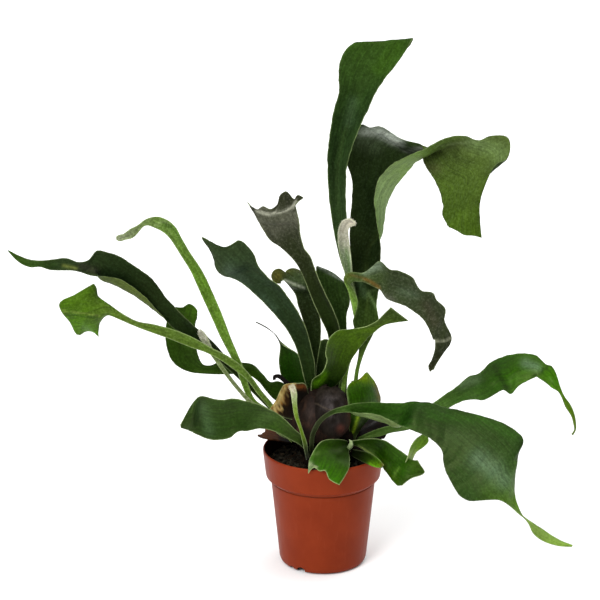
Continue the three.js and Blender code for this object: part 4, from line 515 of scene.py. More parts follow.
# Looks. upper and under are the colours along a blade's two faces from root to tip, each as share of
# the length and sRGB colour. Where under isn't given, it is LEAF_UNDER. felt is how much white hair
# covers the faces, as share of the length and amount. A mark is a line across and up the board, its
# reach in mm, its colour and its strength. ruffle is how far the margins wave in mm, margin how
# strong the pale margin is, ragged how uneven the colours' ends are, and hair the number of hairs.
LEAF_UNDER = [(0, 110, 140, 85), (1, 118, 142, 92)]
# Some stops and marks below are painted light: painted highlights and painted shade, noted at each
# frond.
LOOKS = {
    "frond_tall_front": dict(
        slot="frond_dark", ruffle=0.5, margin=0.25, felt=[(0, 0.3), (1, 0.12)],
        upper=[(0, 90, 124, 56), (0.22, 74, 101, 56), (0.35, 49, 71, 41), (0.5, 48, 71, 42),
            (0.7, 41, 65, 35), (0.9, 50, 81, 32), (1, 48, 81, 22)],
        under=[(0, 96, 130, 62), (0.3, 92, 118, 72), (1, 100, 126, 78)],
        upper_marks=[([(12, 352), (10, 392), (14, 420)], 2, (26, 44, 22), 0.5),
            ([(30, 455), (26, 435)], 6, (70, 96, 70), 0.5),
            ([(78, 512), (66, 500), (58, 488)], 9, (58, 96, 20), 0.5)]),
    "frond_tall_back": dict(
        slot="frond_dark", ruffle=0.5, margin=0.2, felt=[(0, 0.3), (0.3, 0.15), (1, 0.25)],
        under_felt=[(0, 0.3), (0.3, 0.9), (0.62, 0.9), (0.72, 0.4), (1, 0.3)],
        # The near-black stop at 0.3 is painted shade, where the blade lies under its own arching crest.
        upper=[(0, 110, 150, 70), (0.14, 58, 83, 34), (0.3, 20, 35, 14), (0.6, 37, 54, 30),
            (1, 46, 66, 38)],
        under=[(0, 110, 150, 70), (0.3, 106, 146, 76), (0.48, 132, 160, 108), (0.6, 112, 146, 72),
            (0.72, 74, 88, 50), (0.85, 74, 96, 42), (1, 68, 96, 18)],
        # Painted highlights, partly the felt: the pale band under the crest, the pale line on the fold
        # beyond it and the wider pale patch below; lower down, a painted bluish highlight and thin pale
        # lines along a fold.
        upper_marks=[([(42, 425), (56, 426), (67, 420.5), (75, 416)], 4.6, (230, 240, 234), 0.95),
            ([(84, 406), (98, 409), (108, 410)], 2, (120, 124, 120), 0.7),
            ([(36, 418), (50, 412)], 9, (92, 106, 86), 0.5),
            ([(37, 274), (42, 263)], 4, (84, 112, 80), 0.6),
            ([(45.5, 264), (50, 257), (56, 245)], 1.1, (116, 144, 96), 0.8),
            ([(45, 265), (54, 266)], 1, (116, 144, 96), 0.6)],
        # The pale patch on the lobe's right and the thin pale line along its top are painted highlights;
        # the brownish patch is the lobe's colour.
        under_marks=[([(150, 416), (165, 410), (178, 405), (178, 392)], 9, (108, 132, 88), 0.6),
            ([(100, 392), (112, 388)], 7, (76, 74, 52), 0.6),
            ([(113, 411), (129, 413.5), (156, 415.5)], 0.8, (132, 152, 108), 0.5)]),
    "frond_white_young": dict(
        slot="frond_young", ruffle=0, hair=2600,
        felt=[(0, 0.1), (0.6, 0.2), (0.74, 0.3), (0.84, 0.8), (1, 1)],
        upper=[(0, 104, 146, 62), (0.45, 104, 140, 66), (0.6, 100, 130, 76), (0.74, 124, 146, 108),
            (0.84, 196, 196, 176), (0.92, 222, 216, 200), (1, 226, 216, 200)],
        under=[(0, 104, 146, 62), (0.6, 130, 156, 100), (0.84, 200, 200, 182), (1, 226, 216, 200)],
        upper_marks=[([(29, 262), (27, 280), (26, 296), (24, 308)], 1.6, (84, 124, 54), 0.7),
            ([(34, 262), (30.5, 278), (29, 290), (27.5, 304)], 0.8, (196, 214, 180), 0.8)]),
    "frond_cup": dict(
        slot="frond_grey", ruffle=0.4, felt=[(0, 0), (0.5, 0.05), (0.7, 0.4), (1, 0.6)],
        upper=[(0, 38, 62, 14), (0.2, 22, 42, 7), (0.45, 17, 30, 9), (0.65, 32, 40, 20),
            (0.88, 42, 44, 33), (1, 30, 32, 18)],
        under=[(0, 80, 100, 56), (0.5, 96, 100, 84), (1, 120, 122, 108)],
        upper_marks=[([(-62, 336), (-48, 330), (-32, 338)], 11, (104, 104, 93), 0.75),
            # A thin pale line along the rim: a painted highlight.
            ([(-67, 346), (-60, 344), (-53, 342.5), (-46, 344), (-38, 346), (-30, 350), (-27, 355)],
             1.3, (196, 196, 184), 0.7),
            ([(-72, 351), (-70, 348)], 3.5, (50, 50, 44), 0.8),
            ([(-60, 349), (-54, 348)], 2.5, (104, 104, 92), 0.8)]),
    "frond_left_strap": dict(
        slot="frond_dark", ruffle=0.5, felt=[(0, 0.1), (1, 0.15)],
        upper=[(0, 38, 60, 24), (0.3, 20, 39, 21), (0.7, 38, 57, 43), (1, 50, 66, 44)],
        # The bluish patch near the tip is a painted gloss highlight.
        upper_marks=[([(-94, 287), (-80, 276)], 7, (76, 94, 84), 0.5),
            ([(-62, 262), (-50, 248)], 5, (58, 78, 64), 0.5)]),
    "frond_curled_behind": dict(
        slot="frond_dark", ruffle=0.2, felt=[(0, 0.2), (1, 0.4)],
        # The dark stop at 0.6 is painted shade, where the fronds in front shade this one.
        upper=[(0, 38, 60, 26), (0.6, 24, 36, 15), (0.8, 34, 48, 26), (0.92, 46, 60, 38),
            (1, 84, 84, 40)],
        under=[(0, 90, 116, 70), (1, 104, 126, 84)],
        upper_marks=[([(-29, 282), (-22, 280)], 7, (54, 70, 44), 0.7),
            ([(-45, 281)], 5, (98, 92, 44), 0.95),
            # A thin pale line along the top edge: a painted highlight, partly felt.
            ([(-38, 277), (-30, 273), (-19, 269)], 1.2, (170, 176, 162), 0.7)]),
    "frond_broad_dark": dict(
        slot="frond_dark", ruffle=0.4, felt=[(0, 0.1), (1, 0.25)],
        upper=[(0, 50, 74, 36), (0.5, 42, 69, 30), (0.85, 50, 75, 37), (1, 60, 78, 54)],
        upper_marks=[([(-4, 290), (4, 286), (14, 280), (22, 276)], 1.2, (150, 158, 152), 0.65)]),
    "frond_right_drooping": dict(
        slot="frond_grey", ruffle=0.6, margin=0.2, felt=[(0, 0.3), (0.45, 0.4), (1, 0.35)],
        upper=[(0, 126, 168, 80), (0.33, 120, 160, 76), (0.42, 74, 98, 50), (0.6, 46, 60, 38),
            (0.85, 44, 52, 36), (0.95, 28, 32, 16), (1, 28, 28, 14)],
        under=[(0, 126, 168, 88), (0.4, 110, 126, 92), (1, 112, 122, 98)],
        upper_marks=[([(43, 287), (56, 292)], 5, (126, 144, 126), 0.75),
            ([(22, 279), (26, 282)], 4, (80, 98, 36), 0.9),
            ([(28, 282.5), (39, 279.5)], 1.7, (88, 78, 34), 0.8),
            ([(42, 278), (49, 274.5), (56, 269.5)], 1.9, (116, 84, 44), 0.85),
            ([(58, 263), (70, 257)], 3, (104, 106, 96), 0.6),
            ([(104, 252), (112, 234)], 6, (58, 52, 44), 0.6),
            # A bluish patch: a painted sheen highlight.
            ([(78, 266), (92, 262)], 5, (84, 102, 82), 0.5),
            ([(112, 216.5), (120, 216), (129, 218.5)], 1, (150, 152, 134), 0.8)]),
    "frond_bright_short": dict(
        slot="frond_bright", ruffle=0.4, felt=[(0, 0), (0.5, 0.05), (1, 0.2)],
        upper=[(0, 20, 36, 0), (0.25, 22, 46, 0), (0.6, 68, 100, 6), (0.85, 62, 84, 30),
            (1, 42, 64, 12)],
        under=[(0, 110, 138, 70), (1, 124, 148, 88)],
        upper_marks=[([(-7, 174), (-2, 178), (1, 184)], 3.6, (92, 146, 24), 0.85)]),
    "frond_short_dark": dict(
        slot="frond_dark", ruffle=0.3, felt=[(0, 0.2), (1, 0.3)],
        upper=[(0, 30, 50, 22), (1, 44, 62, 32)]),
    "frond_pointed": dict(
        slot="frond_bright", ruffle=0.3, felt=[(0, 0), (1, 0.05)],
        upper=[(0, 16, 43, 0), (0.5, 20, 60, 0), (0.62, 16, 42, 4), (0.72, 16, 24, 12), (1, 22, 26, 16)],
        under=[(0, 90, 116, 60), (0.6, 70, 90, 46), (0.72, 26, 30, 18), (1, 22, 26, 16)]),
    "frond_left_arching": dict(
        slot="frond_bright", ruffle=0.2, felt=[(0, 0.3), (0.7, 0.3), (1, 0.9)],
        upper=[(0, 130, 164, 84), (0.2, 102, 138, 56), (0.6, 90, 132, 38), (0.85, 100, 132, 66),
            (0.93, 112, 130, 88), (1, 150, 158, 132)],
        under=[(0, 140, 176, 96), (0.6, 122, 156, 84), (1, 180, 184, 158)],
        # A painted shadow in the fold, then a thin painted highlight along the top edge.
        upper_marks=[([(-158, 333), (-148, 329), (-138, 313)], 3, (58, 96, 30), 0.6),
            ([(-168, 331), (-160, 336), (-150, 334)], 1.2, (136, 158, 108), 0.6)]),
    "frond_left_longest": dict(
        slot="frond_dark", ruffle=0.3, margin=0.2, felt=[(0, 0.2), (0.2, 0.08), (1, 0.12)],
        upper=[(0, 80, 112, 46), (0.16, 44, 62, 20), (0.3, 20, 38, 14), (0.65, 22, 38, 20),
            (0.85, 38, 56, 34), (1, 62, 100, 32)],
        under=[(0, 90, 128, 56), (0.4, 76, 92, 42), (0.65, 82, 97, 48), (0.8, 84, 100, 58),
            (1, 76, 112, 46)],
        upper_marks=[([(-259, 291.5), (-247, 289)], 1.8, (116, 126, 74), 0.8),
            ([(-241, 291), (-228, 286)], 4.5, (50, 46, 44), 0.7)]),
    "frond_left_flag": dict(
        slot="frond_bright", ruffle=0.3, felt=[(0, 0.3), (0.8, 0.3), (1, 0.08)],
        upper=[(0, 116, 148, 70), (0.2, 92, 122, 52), (0.8, 86, 114, 40), (0.92, 76, 112, 20),
            (1, 72, 110, 16)],
        under=[(0, 120, 160, 76), (1, 128, 156, 88)],
        upper_marks=[([(-250, 235), (-232, 227)], 9, (84, 138, 8), 0.7),
            # A thin painted highlight on the crease with painted shade just below it, and painted shade
            # in the fold at the upper right corner.
            ([(-262, 246), (-240, 244), (-224, 241.5)], 0.8, (150, 176, 96), 0.6),
            ([(-260, 243.6), (-240, 241.6), (-226, 239.2)], 1.5, (44, 78, 8), 0.8),
            ([(-228, 271), (-225.5, 263)], 2.6, (44, 66, 20), 0.8)]),
    "frond_left_upturned": dict(
        slot="frond_dark", ruffle=0.5, margin=0.1, felt=[(0, 0), (1, 0.08)],
        upper=[(0, 28, 48, 13), (0.3, 41, 72, 12), (0.7, 41, 69, 20), (1, 56, 92, 10)]),
    "frond_low_left": dict(
        slot="frond_green", ruffle=0.7, felt=[(0, 0.05), (1, 0.1)],
        # The near-black stops at the root are painted shade among the roots of the other fronds.
        upper=[(0, 12, 18, 2), (0.12, 22, 36, 4), (0.22, 38, 60, 14), (0.35, 50, 78, 30),
            (0.5, 34, 62, 16), (0.7, 40, 68, 26), (1, 34, 54, 22)],
        # The two bluish patches are painted sheen highlights.
        upper_marks=[([(-120, 150), (-114, 126)], 6, (76, 104, 72), 0.6),
            ([(-66, 132), (-54, 142)], 7, (76, 104, 62), 0.5),
            ([(-96, 152), (-88, 130)], 6, (30, 56, 14), 0.5)]),
    "frond_crozier": dict(
        slot="frond_young", ruffle=0, hair=500,
        felt=[(0, 0), (0.68, 0.05), (0.8, 0.35), (0.9, 0.85), (1, 0.9)],
        # The dark first stop at the root is painted shade.
        upper=[(0, 24, 34, 6), (0.2, 44, 60, 8), (0.4, 92, 122, 18), (0.55, 108, 140, 26),
            (0.7, 126, 154, 70), (0.8, 160, 176, 128), (0.9, 210, 200, 170), (1, 180, 160, 118)],
        under=[(0, 60, 84, 20), (0.6, 126, 150, 72), (1, 198, 190, 164)]),
    "frond_young_bud": dict(
        slot="frond_young", ruffle=0, hair=900, felt=[(0, 0.2), (0.8, 0.3), (0.93, 0.9), (1, 1)],
        upper=[(0, 96, 128, 60), (0.5, 110, 126, 80), (0.85, 100, 128, 60), (0.93, 168, 172, 142),
            (1, 178, 178, 158)],
        under=[(0, 96, 128, 60), (0.5, 110, 126, 80), (0.85, 100, 128, 60), (0.93, 168, 172, 142),
            (1, 178, 178, 158)]),
    "shield_green": dict(
        slot="frond_bright", ruffle=0.2, felt=[(0, 0), (1, 0.02)],
        upper=[(0, 60, 84, 14), (0.3, 24, 40, 2), (0.45, 30, 65, 0), (0.85, 36, 77, 0),
            (1, 96, 130, 20)],
        upper_marks=[([(53, 174), (57, 158)], 2.5, (110, 88, 30), 0.7),
            ([(43, 181)], 6, (124, 158, 14), 0.8),
            ([(44, 146), (41, 134), (36, 124)], 5, (20, 34, 6), 0.85),
            ([(26, 146), (28, 136), (27, 122)], 2.5, (20, 34, 6), 0.8),
            ([(35.5, 142), (33.3, 134), (30, 125)], 1.4, (128, 156, 44), 0.95),
            ([(32, 181), (38, 180)], 2.5, (112, 76, 50), 0.7)]),
    "shield_torn": dict(
        slot="shield_brown", ruffle=0.5, ragged=0.2, felt=[(0, 0), (1, 0)],
        upper=[(0, 14, 9, 7), (0.7, 18, 12, 9), (0.75, 96, 54, 22), (0.82, 218, 190, 138),
            (0.88, 150, 94, 38), (0.94, 226, 202, 150), (1, 170, 128, 74)],
        under=[(0, 56, 36, 22), (0.7, 110, 76, 42), (1, 190, 150, 100)],
        upper_marks=[([(-29, 170.5), (-18, 171)], 2.6, (122, 68, 34), 0.85),
            ([(-37, 154), (-36, 166)], 2.5, (70, 44, 22), 0.8),
            ([(-44, 158), (-40, 166)], 2, (206, 182, 128), 0.8), ([(-40, 142)], 6, (40, 26, 18), 0.8)]),
    "frond_right_longest": dict(
        slot="frond_green", ruffle=0.6, margin=0.15,
        felt=[(0, 0), (0.1, 0.1), (0.4, 0.1), (0.7, 0.2), (1, 0.25)],
        # The nearly black stops at the root are painted shade.
        upper=[(0, 14, 16, 8), (0.1, 20, 26, 10), (0.18, 24, 34, 10), (0.25, 34, 68, 8),
            (0.36, 34, 79, 6), (0.5, 12, 39, 2), (0.7, 31, 62, 18), (0.82, 84, 120, 42),
            (0.92, 116, 154, 56), (1, 126, 152, 72)],
        under=[(0, 96, 122, 76), (0.3, 116, 138, 92), (0.8, 122, 146, 90), (1, 128, 164, 74)],
        # The first and last marks, pale and bluish, are painted gloss highlights.
        upper_marks=[([(156, 98), (170, 88), (182, 76)], 10, (104, 130, 108), 0.55),
            ([(107, 142), (157, 138), (190, 122)], 6, (32, 80, 4), 0.6),
            ([(128, 122), (146, 116)], 8, (60, 80, 52), 0.4)]),
    "frond_right_upper": dict(
        slot="frond_green", ruffle=0.6, margin=0.1, felt=[(0, 0.1), (1, 0.08)],
        upper=[(0, 66, 94, 38), (0.3, 74, 106, 56), (0.6, 40, 86, 8), (0.8, 72, 118, 18),
            (0.92, 84, 118, 20), (1, 90, 110, 44)],
        # The two pale bluish patches are painted gloss highlights.
        upper_marks=[([(140, 174), (152, 178)], 6, (104, 130, 98), 0.6),
            ([(172, 190), (178, 178), (184, 167)], 3.5, (18, 42, 4), 0.7),
            ([(190, 180)], 6, (58, 116, 2), 0.6), ([(203, 194), (214, 190)], 5, (120, 152, 120), 0.7),
            ([(226, 184), (232, 174)], 6, (66, 130, 2), 0.7),
            ([(209, 180), (217, 184), (225, 191)], 1.2, (18, 44, 8), 0.8)]),
    "frond_over_rim": dict(
        slot="frond_green", ruffle=0.3, margin=0.7, felt=[(0, 0.02), (1, 0)],
        upper=[(0, 20, 40, 2), (0.5, 32, 62, 0), (0.85, 46, 94, 0), (1, 50, 104, 0)],
        upper_marks=[([(-15, 84), (-13, 92)], 3.2, (150, 172, 128), 0.9),
            ([(-13.5, 93), (-6, 89.5)], 0.8, (190, 196, 160), 0.7),
            ([(-8, 98), (-2, 106)], 4, (54, 76, 34), 0.3)]),
    "frond_right_low": dict(
        slot="frond_green", ruffle=0.4, felt=[(0, 0.05), (1, 0.02)],
        upper=[(0, 28, 47, 8), (0.4, 32, 62, 2), (0.8, 38, 80, 0), (1, 46, 76, 8)],
        under=[(0, 90, 126, 60), (1, 110, 146, 70)],
        upper_marks=[([(37, 111), (46, 105), (55, 99)], 0.8, (126, 140, 84), 0.7),
            ([(58, 113)], 5, (52, 72, 46), 0.6),
            ([(72, 80), (73, 85), (77, 88.5)], 1.4, (104, 142, 66), 0.55)],
        tine=dict(
            upper=[(0, 160, 178, 132), (0.35, 132, 158, 92), (0.55, 96, 136, 34), (1, 92, 134, 30)],
            under=[(0, 160, 178, 132), (0.5, 110, 140, 60), (1, 100, 134, 44)],
            upper_marks=[])),
    "frond_under_leaf": dict(
        slot="frond_bright", ruffle=0.2, margin=0.15, felt=[(0, 0), (1, 0)],
        # The near-black stops up to the middle are painted shade, where this leaf lies under the others.
        upper=[(0, 10, 16, 3), (0.5, 12, 20, 4), (0.75, 28, 52, 6), (0.9, 66, 112, 10), (1, 96, 86, 36)],
        upper_marks=[([(48, 93), (56, 90)], 2.6, (96, 150, 20), 0.85)]),
}

# Fronds with lobes or teeth, whose rows have LOBED_COLUMNS
LOBED = ("frond_curled_behind", "frond_over_rim", "frond_left_flag", "frond_left_strap", "frond_cup",
         "frond_right_low", "frond_tall_front", "frond_left_upturned")


def linear(color):
    """A colour given as 0 to 255 in sRGB, as linear values."""
    share = np.asarray(color, float) / 255
    return np.where(share <= 0.04045, share / 12.92, ((share + 0.055) / 1.055) ** 2.4)


def smooth_step(x, low, high):
    t = np.clip((np.asarray(x, float) - low) / (high - low), 0, 1)
    return t * t * (3 - 2 * t)


def bell(x, middle, reach):
    """1 at the middle, fading out over the reach."""
    return np.exp(-((x - middle) / reach) ** 2)


def noisy(points, lump, seed):
    """Fractal noise between about -1 and 1 at points, with lumps of the given size."""
    values = [noise.fractal(Vector(point) / lump + Vector((seed, 0, 0)), 1.0, 2.0, NOISE_OCTAVES)
              for point in points.reshape(-1, 3)]
    return np.array(values).reshape(points.shape[:-1])


def relief(points, layers):
    """Heights of a rough surface. A layer is its height, the size of its lumps and its seed."""
    return sum(height * noisy(points, lump, seed) for height, lump, seed in layers)


def painted(color, paint, amount, tone=linear):
    """Linear colours, each drawn towards a paint given in sRGB by its amount."""
    return color + (tone(paint) - color) * np.asarray(amount)[..., None]


def with_felt(color, felt=0):
    """Colours with the amount of felt as their fourth value."""
    return np.concatenate([color, np.broadcast_to(felt, (*color.shape[:-1], 1))], axis=-1)


# Curves and blade surfaces
def place(points):
    """Points of the drawing board, where they really lie."""
    points = np.asarray(points, float)
    up = points[..., 1]
    seen = np.stack([points[..., 0], up * math.sin(LEAN), up * math.cos(LEAN)], -1)
    share = (points[..., 2] - EYE[1]) / (seen[..., 1] - EYE[1])
    return EYE + (seen - EYE) * share[..., None]


def board_places(points):
    """Across and up, on the drawing board, of points where they really lie."""
    normal = np.array([0, math.cos(LEAN), -math.sin(LEAN)])
    up = np.array([0, math.sin(LEAN), math.cos(LEAN)])
    rays = points - EYE
    seen = EYE + rays * (-(EYE @ normal) / (rays @ normal))[..., None]
    return np.stack([seen[..., 0], seen @ up], -1)


def spot(points, center, reach):
    """1 at a spot of the board, fading out over the reach across and the reach up."""
    offset = (board_places(points) - center) / reach
    return np.exp(-(offset**2).sum(axis=-1))


def distance_to_line(points, line):
    """Distances of flat points from an open line of points."""
    line = np.array(line, float)
    if len(line) == 1:
        return np.linalg.norm(points - line[0], axis=-1)
    nearest = []
    for start, end in zip(line[:-1], line[1:]):
        span = end - start
        share = np.clip((points - start) @ span / (span @ span), 0, 1)
        nearest.append(np.linalg.norm(points - start - share[..., None] * span, axis=-1))
    return np.min(nearest, axis=0)


def slopes(points, knots):
    """Slopes at the points of a smooth curve. The points run along the first axis."""
    spread = (-1,) + (1,) * (points.ndim - 1)
    spans = np.diff(knots)
    chords = np.diff(points, axis=0) / spans.reshape(spread)
    if len(chords) == 1:
        return np.concatenate([chords, chords])
    before = spans[:-1].reshape(spread)
    after = spans[1:].reshape(spread)
    inner = (chords[:-1] * after + chords[1:] * before) / (before + after)
    first = 1.5 * chords[:1] - 0.5 * inner[:1]
    last = 1.5 * chords[-1:] - 0.5 * inner[-1:]
    return np.concatenate([first, inner, last])


def curve_points(points, knots, where):
    """Points of the smooth curve at the places where, counted in points from the first."""
    i = np.minimum(where.astype(int), len(points) - 2)
    spread = (-1,) + (1,) * (points.ndim - 1)
    t = (where - i).reshape(spread)
    span = np.diff(knots)[i].reshape(spread)
    slope = slopes(points, knots)
    return (points[i] * (2 * t**3 - 3 * t**2 + 1) + slope[i] * span * (t**3 - 2 * t**2 + t)
            + points[i + 1] * (3 * t**2 - 2 * t**3) + slope[i + 1] * span * (t**3 - t**2))


def running_length(points):
    steps = np.linalg.norm(np.diff(points, axis=0), axis=-1)
    return np.concatenate([[0], np.cumsum(steps)])


def column_shares(width, columns):
    """Shares of the width at which a row has its points: close together at the margins."""
    margin = np.array(EDGE_OFFSETS) * min(1, width / NARROW) / width
    inner = np.linspace(margin[-1], 1 - margin[-1], columns)[1:-1]
    return np.concatenate([margin, inner, 1 - margin[::-1]])


def spread_row(row, along, cup, columns):
    """A row's points spread over its columns. A row of two points gets a sunken middle."""
    width = running_length(row)[-1]
    if len(row) == 2:
        upper = np.cross(row[1] - row[0], along)
        upper /= np.linalg.norm(upper)
        middle = row.mean(axis=0) - upper * cup * width
        row = np.array([row[0], middle, row[1]])
    shares = column_shares(width, columns)
    return curve_points(row, running_length(row), shares * (len(row) - 1))


def row_places(knots):
    """Where the fine rows go, counted in drawn rows: every BLADE_STEP, and closer near the tip."""
    places = [0]
    for i, span in enumerate(np.diff(knots)):
        pieces = max(1, round(span / BLADE_STEP))
        places += [i + k / pieces for k in range(1, pieces + 1)]
    last_span = knots[-1] - knots[-2]
    tip = [len(knots) - 1 - offset / last_span for offset in EDGE_OFFSETS[1:] if offset < last_span]
    return np.array(sorted(set(places + tip)))


def blade_surface(rows, cup, columns):
    """The middle surface of a blade, as rows of points."""
    placed = [place(np.reshape(row, (-1, 3))) for row in rows]
    middles = [(row[0] + row[-1]) / 2 for row in placed]
    last = len(placed) - 1
    spread = []
    for i, row in enumerate(placed):
        along = middles[min(i + 1, last)] - middles[max(i - 1, 0)]
        spread.append(spread_row(row, along, cup, columns))
    spread = np.array(spread)
    steps = np.linalg.norm(np.diff(spread, axis=0), axis=-1).mean(axis=1)
    knots = np.concatenate([[0], np.cumsum(steps)])
    return curve_points(spread, knots, row_places(knots))


def surface_normals(surface):
    along = np.gradient(surface, axis=0)
    across = np.gradient(surface, axis=1)
    normal = np.cross(across, along)
    return normal / np.maximum(np.linalg.norm(normal, axis=-1, keepdims=True), 1e-9)


def measures(surface):
    """For each point: distance along from the root, distance across from the left margin, the row's
    width, and distance to the nearest margin or to the tip."""
    steps_across = np.linalg.norm(np.diff(surface, axis=1), axis=-1)
    across = np.concatenate([np.zeros((len(surface), 1)), np.cumsum(steps_across, axis=1)], axis=1)
    steps_along = np.linalg.norm(np.diff(surface, axis=0), axis=-1)
    along = np.concatenate([np.zeros((1, surface.shape[1])), np.cumsum(steps_along, axis=0)])
    width = across[:, -1:]
    to_margin = np.minimum(np.minimum(across, width - across), along[-1:] - along)
    return along, across, width, to_margin


def waves(distance, lengths, random):
    """A sum of sine waves with these wavelengths and random phases, between about -1 and 1."""
    phases = random.uniform(0, 2 * math.pi, len(lengths))
    parts = [np.sin(2 * math.pi * distance / length + phase) * math.sqrt(length / lengths[0])
             for length, phase in zip(lengths, phases)]
    return sum(parts) / math.sqrt(len(lengths))


def ruffled(surface, ruffle, random):
    """The surface with waved and slightly jagged margins and a puckered blade."""
    along, across, width, _ = measures(surface)
    normal = surface_normals(surface)
    side = 2 * across / np.maximum(width, 1e-6) - 1
    room = np.minimum(width / FULL_WIDTH, 1) * smooth_step(along, *RUFFLED_FROM)
    middle = along.mean(axis=1, keepdims=True)
    left, right = (waves(middle, RUFFLE_LENGTHS, random) for _ in range(2))
    lift = ruffle * np.where(side < 0, left, right) * abs(side) ** 3
    lift = lift + PUCKER * waves(along + 0.5 * across, PUCKER_LENGTHS, random) * (1 - side**2)
    row_side = surface[:, -1:] - surface[:, :1]
    row_side /= np.maximum(np.linalg.norm(row_side, axis=-1, keepdims=True), 1e-6)
    left_jag, right_jag = (waves(middle, JAG_LENGTHS, random) for _ in range(2))
    jag = JAG * side * abs(side) ** 5 * np.where(side < 0, left_jag, right_jag)
    return surface + normal * (lift * room)[..., None] + row_side * (jag * room)[..., None]


def leaf_thickness(width):
    """Stalks are thick and narrow, blades thin and wide, and tips thin again."""
    stalk = np.clip(STALK_SECTION / width, BLADE_THICKNESS, STALK_THICKNESS)
    return np.maximum(THINNEST, np.minimum(stalk, width / 2))


# Meshes
def plate_body(surface, thickness, to_margin):
    """Points and faces of a closed plate with rounded margins, and which points of the surface are
    inside its border. Each of those has an upper point and an under point."""
    rows, columns = surface.shape[:2]
    middle_to_margin = to_margin.max(axis=1, keepdims=True)
    rounding = np.maximum(np.minimum(thickness * MARGIN_ROUNDING, 2 * middle_to_margin), 1e-3)
    half = thickness / 2 * np.sqrt(1 - (1 - np.clip(to_margin / rounding, 0, 1)) ** 2)
    offset = surface_normals(surface) * half[..., None]
    inner = np.zeros((rows, columns), bool)
    inner[1:-1, 1:-1] = True
    offset[~inner] = 0
    upper = np.arange(rows * columns).reshape(rows, columns)
    under = upper.copy()
    under[inner] = rows * columns + np.arange(inner.sum())
    points = np.concatenate([(surface + offset).reshape(-1, 3), (surface - offset)[inner]])
    faces = []
    for index, order in ((upper, (0, 1, 2, 3)), (under, (3, 2, 1, 0))):
        corners = (index[:-1, :-1], index[:-1, 1:], index[1:, 1:], index[1:, :-1])
        faces.append(np.stack([corners[k] for k in order], -1).reshape(-1, 4))
    return points, np.concatenate(faces), inner


def circle(radius, height, segments):
    turn = np.arange(segments) * 2 * math.pi / segments
    return np.stack([radius * np.cos(turn), radius * np.sin(turn), np.full(segments, height)], -1)


def ring_body(rings, first, last):
    """Points and faces of a closed body: rings of points, and a point that closes each end."""
    points = np.concatenate([*rings, [first, last]])
    index = np.arange(len(points) - 2).reshape(len(rings), -1)
    after = np.roll(index, -1, axis=1)
    sides = np.stack([index[:-1], after[:-1], after[1:], index[1:]], -1).reshape(-1, 4).tolist()
    first_end = [(b, a, len(points) - 2) for a, b in zip(index[0].tolist(), after[0].tolist())]
    last_end = [(a, b, len(points) - 1) for a, b in zip(index[-1].tolist(), after[-1].tolist())]
    return points, sides + first_end + last_end


def turned_body(profile, segments):
    """Points and faces of a turned body. The profile starts and ends on the axis."""
    rings = [circle(radius, height, segments) for radius, height in profile[1:-1]]
    return ring_body(rings, (0, 0, profile[0][1]), (0, 0, profile[-1][1]))


def ball(center, radii, segments, rings):
    """Points and faces of an ellipsoid."""
    rise = np.linspace(-math.pi / 2, math.pi / 2, rings + 1)[1:-1]
    circles = [circle(np.cos(angle), np.sin(angle), segments) for angle in rise]
    points, faces = ring_body(circles, (0, 0, -1), (0, 0, 1))
    return points * radii + center, faces


def tube(spine, radii, segments):
    """Points and faces of a closed tube along a spine, with its ends drawn to points."""
    spine = np.array(spine)
    along = np.gradient(spine, axis=0)
    along /= np.linalg.norm(along, axis=1, keepdims=True)
    across = np.cross(along, (0.3, 1, 0.2))
    across /= np.linalg.norm(across, axis=1, keepdims=True)
    other = np.cross(along, across)
    turn = np.arange(segments) * 2 * math.pi / segments
    rings = [center + radius * (np.outer(np.cos(turn), side) + np.outer(np.sin(turn), other_side))
             for center, radius, side, other_side in zip(spine, radii, across, other)]
    return ring_body(rings, spine[0], spine[-1] + along[-1] * radii[-1])


def pyramids(base_corners, tips):
    """Points and faces of closed three-sided pyramids."""
    points = np.stack([*base_corners, tips], axis=1).reshape(-1, 3)
    first = 4 * np.arange(len(tips))[:, None]
    faces = [first + corners for corners in ((0, 1, 3), (1, 2, 3), (2, 0, 3), (2, 1, 0))]
    return points, np.concatenate(faces)


def merged(bodies):
    """Points and faces of several bodies as one."""
    points = []
    faces = []
    count = 0
    for body_points, body_faces in bodies:
        faces += [tuple(corner + count for corner in face) for face in body_faces]
        points.append(body_points)
        count += len(body_points)
    return np.concatenate(points), faces


def new_mesh(name, points, faces):
    """A mesh from points in millimetres."""
    mesh = bpy.data.meshes.new(name)
    mesh.from_pydata(points * MM, [], faces.tolist() if isinstance(faces, np.ndarray) else faces)
    return mesh


def new_object(name, data):
    made = bpy.data.objects.new(name, data)
    bpy.context.scene.collection.objects.link(made)
    return made


def store(layer, key, values):
    layer.data.foreach_set(key, np.asarray(values, np.float32).ravel())


def dress(name, mesh, material, replaces=()):
    """A piece of the plant or pot that rides on the part's one body."""
    mesh.materials.clear()
    mesh.materials.append(material)
    mesh.shade_smooth()
    piece = new_object(name, mesh)
    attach(piece, "root")
    if replaces:
        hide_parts(*replaces)


def add_piece(name, points, faces, material, slot, tint, blade=None, replaces=()):
    """A piece of the plant. tint is a colour and felt for each point, and blade is where each point
    lies on its blade: across, along and from the margin, in millimetres."""
    mesh = new_mesh(name, points, faces)
    store(mesh.color_attributes.new("tint", "FLOAT_COLOR", "POINT"), "color", tint)
    if blade is not None:
        store(mesh.attributes.new("blade", "FLOAT_VECTOR", "POINT"), "vector", blade)
    mesh.validate()
    dress(name, mesh, material, replaces)


def evaluated_mesh(made):
    """The mesh of an object with its modifiers applied. The object itself is removed."""
    graph = bpy.context.evaluated_depsgraph_get()
    mesh = bpy.data.meshes.new_from_object(made.evaluated_get(graph))
    bpy.data.objects.remove(made)
    return mesh


def read_vectors(items, key):
    """The vectors that a mesh holds under a key, one for each of the items."""
    values = np.zeros(len(items) * 3)
    items.foreach_get(key, values)
    return values.reshape(-1, 3)


